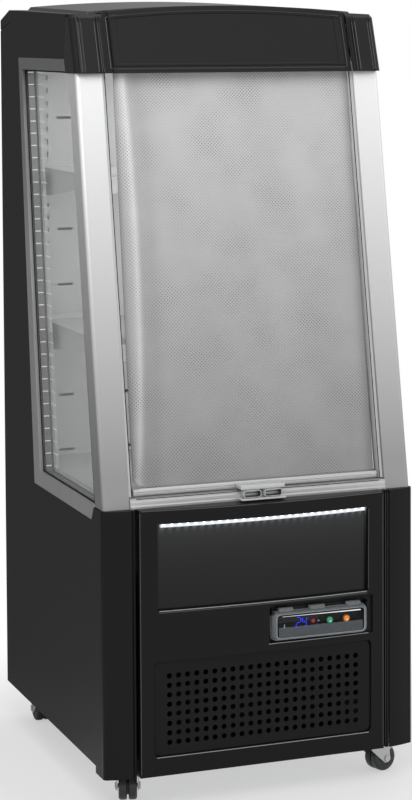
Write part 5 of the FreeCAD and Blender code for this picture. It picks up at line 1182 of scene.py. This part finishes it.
@dataclass
class Controls:
    """Clear lid, figures and lamps of the display, and the two switches."""

    figure_left: float = 62.0
    figure_width: float = 8.0
    figure_gap: float = 3.5
    figure_foot: float = 304.5
    figure_height: float = 19.0
    bar: float = 1.5
    slant: float = 0.08
    lamp_x: float = 95.5
    dash_x: float = 107.0
    tick_x: float = 39.5
    middle_z: float = 314.0

    def _face(self) -> float:
        """Y just ahead of the display's face."""
        return corners("temperature_display")[0][1] - 0.25

    def figures(self) -> None:
        """Draw a two-figure number with seven-bar figures.

        Each bar is a six-cornered prism from one node of the figure's grid to the next.
        """
        skin = Skin("display_figures")
        face = self._face()
        for place, figure in enumerate("24"):
            left = self.figure_left + place * (self.figure_width + self.figure_gap)
            for segment in FIGURES[figure]:
                u0, v0, u1, v1 = SEGMENTS[segment]
                start = self._grid(left, u0, v0)
                end = self._grid(left, u1, v1)
                run = (end - start) / np.linalg.norm(end - start)
                side = np.array([-run[1], run[0]]) * self.bar / 2
                a, b = start + run * 0.9, end - run * 0.9
                plan = np.array([a, a + run * 0.8 + side, b - run * 0.8 + side, b, b - run * 0.8 - side,
                                 a + run * 0.8 - side])
                skin.patch(np.stack([at_depth(plan, y) for y in (face + 0.3, face)]))
        skin.build([BLUE_FIGURE], slot="display_gloss")

    def _grid(self, left: float, u: int, v: int) -> np.ndarray:
        """Place of a figure's grid node, slanted a little to the right."""
        z = self.figure_foot + v * self.figure_height / 2
        return np.array([left + u * self.figure_width + (z - self.figure_foot) * self.slant, z])

    def lamps(self) -> None:
        """Make the small lamp ring, the dash and the tick beside the figures."""
        face = self._face()
        ring = [(3.6, -0.2), (3.6, 0.2), (2.2, 0.2), (2.0, -0.1)]
        Skin("status_lamp").turned(ring, (self.lamp_x, face, self.middle_z + 0.6), sides=24).build(
            [RED_LAMP], slot="display_gloss")
        marks = Skin("display_marks")
        marks.block((self.dash_x - 2.6, self.dash_x + 2.6, self.middle_z - 0.6, self.middle_z + 0.8),
                    [(0, face + 0.3), (0, face)], 0.3, steps=3)
        marks.block((self.tick_x - 0.8, self.tick_x + 0.8, self.middle_z - 9, self.middle_z - 1),
                    [(0, face + 0.3), (0, face)], 0.3, steps=3)
        marks.build([WHITE_MARK], slot="display_gloss")

    def switches(self) -> None:
        """Put a domed lens, a ring and a small white painted highlight on each switch: the dome falls off as a
        quarter ellipse.
        """
        rows = (("green_button", "green_switch", GREEN_LENS, GREEN_RING, "green_lens"),
                ("orange_button", "orange_switch", AMBER_LENS, AMBER_RING, "amber_lens"))
        for node, body, lens, ring, slot in rows:
            low, high = corners(node)
            centre = np.array([(low[0] + high[0]) / 2, low[1], (low[2] + high[2]) / 2])
            fall = np.linspace(0, np.pi / 2, 9)
            dome = [(5.4 * math.cos(a), 1.0 + 1.9 * math.sin(a)) for a in fall[:-1]] + [(0.2, 2.9)]
            name = node.replace("button", "switch_cap")
            bezel = [(7.1, 0.02), (7.1, 0.8), (6.6, 1.2), (5.5, 1.2), (5.4, 0.9)]
            skin = Skin(name).turned(bezel, centre, kind=1)
            skin.turned([(5.4, 0.3), *dome], centre)
            # painted highlight: a small glowing white disc low on the dome
            glint_spot = centre + np.array([0.4, -2.35, -2.5])
            skin.turned([(2.0, -0.3), (2.0, 0.1), (0.8, 0.5), (0.1, 0.55)], glint_spot, (0, -1, -0.35), 16, kind=2)
            skin.build([lens, ring, PAINTED_WHITE_GLINT], body=body, slot=slot)

    def lid(self) -> None:
        """Build the clear hinged lid: frosted cheeks and bevels round a flat window, with hinge knuckles, pale
        rims as painted highlights, and a painted glint and sheen on the window.
        """
        low, high = corners("control_cover")
        x0, x1, z0, z1 = low[0], high[0], low[2], high[2]
        back, front = high[1], low[1]
        hinge = 6.5
        rings = [(1.8, back), (0.0, back), (0.2, back - 1.3), (0.6, back - 5), (1.8, back - 9),
                 (4.5, back - 12.2), (8.0, front + 0.1), (8.8, front + 0.05)]
        rows = [at_depth(rounded_outline(x0 + inset, x1 - inset, z0 + inset * 0.7, z1 - hinge - inset * 0.55,
                                         11 - inset * 0.5, 8), y) for inset, y in rings]
        skin = Skin("control_lid")
        skin.patch(np.array(rows[:3]), caps=(False, False), kind=2)
        skin.patch(np.array(rows[2:7]), caps=(False, False), kind=1)
        skin.patch(np.array(rows[6:]), caps=(False, False), kind=2)
        skin.patch(np.array([rows[-1] + np.array([0, 0.3, 0]), rows[-1]]), caps=(False, True), kind=0)
        for left, right in ((x0 + 14, x0 + 42), (x0 + 74, x0 + 104), (x1 - 42, x1 - 14)):
            knuckle = [(0.3, back - 1), (0, back - 2), (0, back - 8.5), (0.6, back - 10)]
            skin.block((left, right, z1 - hinge - 1.0, z1), knuckle, 1.5, kind=1, steps=4)
        skin.build([CLEAR_PLASTIC, CLEAR_EDGE, LID_RIM_HIGHLIGHT], body="cover", slot="clear_plastic",
                   instead_of=["control_cover"], closed=False, smooth=50)
        top = z1 - hinge - 8.0 * 0.55
        foot = z0 + 8.0 * 0.7
        # painted reflections: a white glint line near the top of the window and a grey sheen over its lower
        # part
        self._band("lid_painted_glint", (x0 + 19, x1 - 16), (top - 3.6, top - 5.4), front, PAINTED_WHITE_GLINT, 0.25)
        painted_sheen = (foot + 0.46 * (top - foot), foot + 1.0)
        self._band("lid_painted_sheen", (x0 + 12, x1 - 12), painted_sheen, front, LID_PAINTED_SHEEN, 1.0)

    @staticmethod
    def _band(name: str, across: tuple[float, float], heights: tuple[float, float], front: float,
              finish: Finish, waist: float) -> None:
        """Lay a thin band of painted light, a painted reflection, on the lid's window.

        Args:
            name: the piece's name.
            across: its two ends.
            heights: its upper and lower edge at the right end.
            front: Y of the window.
            finish: its finish.
            waist: share of the height that it has at the left end.
        """
        xs = np.linspace(*across, 25)
        share = waist + (1 - waist) * np.linspace(0, 1, 25)
        upper = np.full_like(xs, heights[0])
        lower = upper + (heights[1] - heights[0]) * share
        ring = np.concatenate([np.stack([xs, np.full_like(xs, front + 0.02), lower], -1),
                               np.stack([xs, np.full_like(xs, front + 0.02), upper], -1)[::-1]])
        Skin(name).patch(np.stack([ring + np.array([0, 0.06, 0]), ring]), caps=(False, True)).build(
            [finish], body="cover", slot="clear_plastic")

    def build(self) -> None:
        """Make every piece of the controls."""
        self.figures()
        self.lamps()
        self.switches()
        self.lid()


# ---------------------------------------------------------------- side windows
@dataclass
class WindowSeals:
    """Black rubber round the outer pane of each side window."""

    covered: float = 8.0
    width: float = 3.0
    height: float = 1.6

    def build(self) -> None:
        """Lay the seal along each pane's outline, drawn in by what the frame covers."""
        for side, name in SIDES:
            low, high = corners(f"side_glass_{name}")
            face = low[0] if side < 0 else high[0]
            pane = pane_corners(f"side_glass_{name}")
            run = np.roll(pane, -1, 0) - pane
            run /= np.linalg.norm(run, axis=1, keepdims=True)
            inward = np.stack([-run[:, 1], run[:, 0]], -1)
            before = np.roll(inward, 1, 0)
            mitre = (inward + before) / (1 + (inward * before).sum(1, keepdims=True))
            rings = []
            start, end = self.covered - 1.5, self.covered + self.width
            for inset, out in ((start, 0.2), (start, self.height), (end - 0.8, self.height), (end, 0.2)):
                plan = pane + mitre * inset
                rings.append(np.stack([np.full(4, face + side * out), plan[:, 0], plan[:, 1]], -1))
            rows = np.array(rings + rings[:1]).transpose(1, 0, 2)
            rows = np.concatenate([rows, rows[:1]])[:, :4]
            seal = Skin(f"window_seal_{name}").patch(rows, caps=(False, False))
            rear, out = pane[:, 0].max() - self.covered, (face + side * 0.1, face + side * self.height)
            seal.box((min(out), rear - 7.0, pane[1, 1] + 12), (max(out), rear - 1.5, pane[2, 1] - 12))
            seal.build([SEAL_RUBBER_AND_SHADE], slot="black_plastic")


def pane_corners(node: str) -> np.ndarray:
    """Corners (y, z) of a pane in millimetres: the points that lie furthest along each diagonal.

    Args:
        node: the pane's node.

    Returns:
        Front foot, rear foot, rear head and front head.
    """
    points = points_of(node)[:, 1:]
    ways = np.array([(-1, -1), (1, -1), (1, 1), (-1, 1)])
    return points[np.argmax(points @ ways.T, axis=0)]


@dataclass
class SpacerGlints:
    """Rows of holes on the rear spacer of each window as glowing painted highlights, and their painted
    reflection in the inner pane.
    """

    pitch: float = 23.5
    height: float = 2.0
    start: float = 556.0
    end: float = 1312.0
    across: tuple[float, float] = (287.4, 276.6)    # the rows' ends on the spacer
    painted_reflection_faces: tuple[float, float] = (271.2, 271.7)     # the faces of the painted reflections on the inner pane

    def build(self) -> None:
        """Lay a thin glowing bar across the spacer at each step as a painted highlight, and a fainter one on
        the inner pane as its painted reflection.
        """
        rows, painted_reflections = Skin("spacer_highlight_rows"), Skin("spacer_painted_reflections")
        zs = np.arange(self.start, self.end, self.pitch)
        spacer = frame["nodes"]["glazing_spacers"]
        for side, name in SIDES:
            pane = pane_corners(f"side_glass_{name}")
            rear = np.interp(zs, pane[1:3, 1], pane[1:3, 0])
            share = (zs - self.start) / (self.end - self.start)
            outer, inner = (side * x for x in self.across)
            near, far = (side * x for x in self.painted_reflection_faces)
            for z, edge, high in zip(zs, rear, share):
                hit, place, _, _ = spacer.ray_cast(Vector((side * 282, edge - 80, z)) * MM, Vector((0, 1, 0)))
                if not hit:
                    continue
                y = place.y / MM
                rows.box((min(outer, inner), y - 0.5, z), (max(outer, inner), y - 0.1, z + self.height))
                right = edge - 5 - 10 * high
                left = right - 30 - 14 * high
                painted_reflections.box((min(near, far), left, z), (max(near, far), right, z + self.height * 0.8))
        rows.build([PAINTED_ROW_HIGHLIGHT], slot="spacer_aluminium")
        painted_reflections.build([PAINTED_REFLECTION_WHITE], slot="clear_glass")


@dataclass
class BlindGuides:
    """Light side guides beside the night blind, just behind the posts' inner edges."""

    inner: float = 240.5
    outer: float = 246.6
    near: float = 6.0
    depth: float = 18.0

    def build(self) -> None:
        """Run a straight prism up the posts' lean on each side, with a black rod along its front inner edge as
        a painted shade line.
        """
        guides, shade_lines = Skin("blind_guides"), Skin("guide_shade_lines")
        zs = np.array([563.0, 1322.0])
        for side, name in SIDES:
            ys = front_of(f"front_post_{name}", np.full(2, side * 252.0), zs)
            near, far = self.near, self.near + self.depth
            plan = ((self.outer, near), (self.inner, near), (self.inner, far), (self.outer, far))
            guides.patch(np.array([[(side * x, y + behind, z) for x, behind in plan] for y, z in zip(ys, zs)]))
            # a black rod: a painted shade line at the guide's inner edge
            path = np.stack([np.full(2, side * self.inner), ys + self.near, zs], -1)
            shade_lines.rod(path, 0.8)
        guides.build([GUIDE_GREY], slot="grey_aluminium")
        shade_lines.build([SEAL_RUBBER_AND_SHADE], slot="black_plastic")


# ---------------------------------------------------------------- castors
@dataclass
class Castors:
    """Twin-lobed wheels with hubs."""

    tread: float = 25.0
    half_width: float = 17.0
    groove: float = 16.0

    def _wheel_profile(self) -> list[tuple[float, float]]:
        """Radius against width: a hub recess, a round-shouldered lobe, a groove, and the same mirrored."""
        r, w = self.tread, self.half_width
        half = [(4.2, -w + 1.4), (13.5, -w + 1.4), (14.5, -w + 0.2), (21.0, -w + 0.2), (23.2, -w + 1.2),
                (24.6, -w + 3.4), (r, -w + 5.5), (r, -5.0), (24.4, -2.8), (22.6, -1.6), (self.groove, -1.4)]
        return half + [(radius, -along) for radius, along in reversed(half)]

    def build(self) -> None:
        """Make each wheel on its own body."""
        for joint in frame["joints"]:
            if not joint["name"].startswith("roll_"):
                continue
            place = joint["name"].removeprefix("roll_")
            centre = np.array(joint["pos_m"]) / MM
            axis = np.array(joint["axis"], float)
            Skin(f"wheel_{place}").turned(self._wheel_profile(), centre, axis, 56).build(
                [CASTOR_RUBBER], body=joint["child"], slot="castor_rubber",
                instead_of=[f"castor_wheel_{place}"])


# ---------------------------------------------------------------- camera, floor and light
@dataclass(frozen=True)
class Viewpoint:
    """A camera given by place, turn, focal length in picture points and principal point."""

    place: tuple[float, float, float] = (-1518.557, -4262.274, 1386.815)
    yaw: float = 22.006
    pitch: float = 3.596
    roll: float = 0.165
    focal: float = 2366.428
    centre: tuple[float, float] = (300.0, 180.0)
    width: float = 412.0
    height: float = 800.0

    def build(self) -> bpy.types.Object:
        """Make the scene's camera.

        The view axis is (sin yaw cos pitch, cos yaw cos pitch, -sin pitch), then rolled about itself.

        Returns:
            The camera object.
        """
        yaw, pitch, roll = (math.radians(a) for a in (self.yaw, self.pitch, self.roll))
        ahead = np.array([math.sin(yaw) * math.cos(pitch), math.cos(yaw) * math.cos(pitch), -math.sin(pitch)])
        right = np.array([math.cos(yaw), -math.sin(yaw), 0.0])
        down = np.cross(ahead, right)
        right, down = (math.cos(roll) * right + math.sin(roll) * down,
                       -math.sin(roll) * right + math.cos(roll) * down)
        data = bpy.data.cameras.new("photo_camera")
        data.sensor_width = 36.0
        data.sensor_fit = "AUTO"
        data.lens = self.focal * 36.0 / self.height
        data.shift_x = (self.width / 2 - self.centre[0]) / self.height
        data.shift_y = (self.centre[1] - self.height / 2) / self.height
        data.clip_start, data.clip_end = 0.1, 60.0
        camera = bpy.data.objects.new("photo_camera", data)
        turn = Matrix((right, -down, -ahead)).transposed().to_4x4()
        camera.matrix_world = Matrix.Translation(Vector(self.place) * MM) @ turn
        bpy.context.scene.collection.objects.link(camera)
        bpy.context.scene.camera = camera
        return camera


@dataclass
class Studio:
    """Floor, backdrop colour and lamps."""

    floor_size: float = 60.0
    ambient: float = 0.5
    dark_card: tuple[float, float, float] = (-0.42, 0.9, 0.0)   # a dark card behind and to the left
    card_edge: tuple[float, float] = (0.35, 0.85)   # cosine where the card begins and is full
    card_level: float = 0.2
    shade_near: float = 0.4         # metres from the middle where the floor's shadow starts to give way
    shade_far: float = 0.95
    floor_lift: float = 0.5         # share of plain white even next to the object
    floor_tone: float = 0.93

    @staticmethod
    def _shown(wires: Wiring) -> bpy.types.NodeSocket:
        """1 for camera, glossy and transmission rays, 0 for all others."""
        path = wires.add("LightPath").outputs
        straight = wires.maths("MAXIMUM", path["Is Camera Ray"], path["Is Transmission Ray"])
        return wires.maths("MAXIMUM", straight, path["Is Glossy Ray"])

    def _card(self, wires: Wiring, way: bpy.types.NodeSocket) -> bpy.types.NodeSocket:
        """Brightness of the surroundings: 1, sinking to the dark card's level only for reflected rays.

        Args:
            wires: the tree's wiring.
            way: direction seen, of any length.

        Returns:
            The level's socket.
        """
        middle = Vector(self.dark_card).normalized()
        cosine = wires.vector("DOT_PRODUCT", wires.vector("NORMALIZE", way), middle, result="Value")
        level = wires.reach(cosine, *self.card_edge, 1.0, self.card_level)
        return wires.maths("MAXIMUM", level, wires.add("LightPath").outputs["Is Camera Ray"])

    def _world(self) -> None:
        """White surroundings at full strength to the camera and in reflections, softer as light."""
        world = bpy.data.worlds.new("studio")
        bpy.context.scene.world = world
        world.use_nodes = True
        nodes, wires = world.node_tree.nodes, Wiring(world.node_tree)
        back = nodes["Background"]
        back.inputs["Color"].default_value = WHITE
        way = wires.add("TexCoord").outputs["Generated"]
        wires.put(self._card(wires, way), back.inputs["Strength"])
        soft = wires.add("Background", {"Color": WHITE, "Strength": self.ambient})
        mix = wires.add("MixShader", {0: self._shown(wires), 1: soft.outputs[0], 2: back.outputs[0]})
        wires.put(mix.outputs[0], nodes["World Output"].inputs[0])

    def _floor(self) -> None:
        """A plain pale floor that keeps the shadow near the object and turns to plain white further out."""
        half = self.floor_size / 2
        mesh = bpy.data.meshes.new("floor")
        square = [(-half, -half, 0), (half, -half, 0), (half, half, 0), (-half, half, 0)]
        mesh.from_pydata(square, [], [(0, 1, 2, 3)])
        floor = bpy.data.objects.new("floor", mesh)
        bpy.context.scene.collection.objects.link(floor)
        pale = bpy.data.materials.new("pale_floor")
        pale.use_nodes = True
        nodes, wires = pale.node_tree.nodes, Wiring(pale.node_tree)
        shader = nodes["Principled BSDF"]
        for label, value in (("Base Color", (*[self.floor_tone] * 3, 1)), ("Roughness", 0.9),
                             ("Specular IOR Level", 0.0)):
            shader.inputs[label].default_value = value
        place = wires.add("TexCoord").outputs["Object"]
        white = wires.add("Emission", {"Strength": self._card(wires, place)})
        away = wires.vector("LENGTH", place, result="Value")
        share = wires.reach(away, self.shade_near, self.shade_far, self.floor_lift)
        both = wires.maths("MULTIPLY", share, self._shown(wires))
        mix = wires.add("MixShader", {0: both, 1: shader.outputs[0], 2: white.outputs[0]})
        wires.put(mix.outputs[0], nodes["Material Output"].inputs[0])
        mesh.materials.append(pale)

    @staticmethod
    def _lamp(name: str, place: Sequence[float], aim: Sequence[float], size: Sequence[float],
              power: float) -> None:
        """Add a soft rectangular lamp.

        Args:
            name: the lamp's name.
            place: where it stands, in metres.
            aim: the point it faces.
            size: its width and height.
            power: its power in watts.
        """
        data = bpy.data.lights.new(name, "AREA")
        data.shape = "RECTANGLE"
        data.size, data.size_y = size
        data.energy = power
        lamp = bpy.data.objects.new(name, data)
        lamp.location = place
        run = Vector(aim) - Vector(place)
        lamp.rotation_euler = run.to_track_quat("-Z", "Y").to_euler()
        bpy.context.scene.collection.objects.link(lamp)

    def build(self) -> None:
        """Make the floor, the world and the lamps, one of them under the display space's ceiling."""
        self._world()
        self._floor()
        self._lamp("key", (-0.9, -2.1, 2.6), (0, -0.1, 1.15), (1.5, 1.5), 22)
        self._lamp("fill", (2.6, -2.6, 1.6), (0, 0, 0.7), (1.6, 2.0), 9)
        self._lamp("top", (0.2, 0.3, 4.2), (0, 0, 1.0), (2.6, 2.6), 24)
        self._lamp("display_space", (0, 0.02, 1.32), (0, 0.0, 0.6), (0.42, 0.12), 0.5)
        self._lamp("behind_blind", (0.05, -0.07, 0.93), (-0.05, 0.3, 0.88), (0.4, 0.66), 1.3)
        bpy.context.scene.view_settings.view_transform = "Standard"


# ---------------------------------------------------------------- finishes on the fixed nodes
@dataclass
class NodeDressing:
    """Gives every CAD node that is shown its finish."""

    table: dict[str, Finish] = field(default_factory=lambda: {
        "base_tray": GALVANISED, "side_panel": SIDE_PAINT, "rear_panel": GALVANISED,
        "roof_panel": ROOF_SHEET, "insulated_liner": WHITE_LINER, "duct_panel": WHITE_PAINT,
        "deck_plate": WHITE_PAINT, "return_grille": WHITE_PAINT, "air_outlet": WHITE_PLASTIC_PAINTED_GLOW,
        "window_frame": GREY_ALUMINIUM, "side_glass": CLEAR_GLASS, "glazing_spacers": SPACER_ALUMINIUM,
        "front_post": BRIGHT_ALUMINIUM, "lower_corner": DARK_PLASTIC, "canopy_cap": CANOPY_PLASTIC,
        "canopy_fascia": CANOPY_PLASTIC, "sill_profile": SILL_ALUMINIUM, "front_panel": DARK_PLASTIC,
        "promo_panel": GLOSS_BLACK, "led_strip": LIGHT_LENS, "grille_panel": DARK_SHEET,
        "control_housing": BLACK_PLASTIC, "temperature_display": DISPLAY_GLOSS,
        "control_cover": CLEAR_PLASTIC, "green_button": GREEN_RING, "orange_button": AMBER_RING,
        "shelf_": WHITE_PAINT, "price_rails": WHITE_PLASTIC_PAINTED_GLOW, "blind_roller": GREY_ALUMINIUM,
        "blind_brackets": GALVANISED, "blind_fabric": BLIND_CLOTH, "blind_bar": SILL_ALUMINIUM,
        "blind_handle": GREY_PLASTIC, "evaporator_coil": FIN_ALUMINIUM, "evaporator_fan": BLACK_PLASTIC,
        "compressor": BLACK_PAINT, "condenser": COIL_PAINTED_SHADE, "condenser_fan_shroud": COIL_PAINTED_SHADE,
        "condenser_fan": FIN_ALUMINIUM, "cable_gland": BLACK_PLASTIC, "castor_plates": ZINC,
        "castor_fork": CASTOR_GREY, "castor_wheel": CASTOR_RUBBER, "castor_brake": BLACK_PLASTIC})

    def finish_for(self, node: str) -> Finish:
        """Pick the finish whose key is the longest start of the node's name.

        Args:
            node: the node's name.

        Returns:
            The finish.
        """
        return self.table[max((key for key in self.table if node.startswith(key)), key=len)]

    def build(self) -> None:
        """Dress every node."""
        for node, piece in frame["nodes"].items():
            piece.data.materials.clear()
            piece.data.materials.append(self.finish_for(node).material())
        LOG.info("dressed %d nodes", len(frame["nodes"]))


def main() -> None:
    """Build the scene in order."""
    logging.basicConfig(level=logging.INFO)
    Viewpoint().build()
    Studio().build()
    NodeDressing().build()
    NightBlind().build()
    GrilleSheet().build()
    LampStrip().build()
    FrontTrim().build()
    UprightBacking().build()
    SpacerGlints().build()
    BlindGuides().build()
    Controls().build()
    WindowSeals().build()
    Castors().build()


if __name__ == "__main__":
    main()
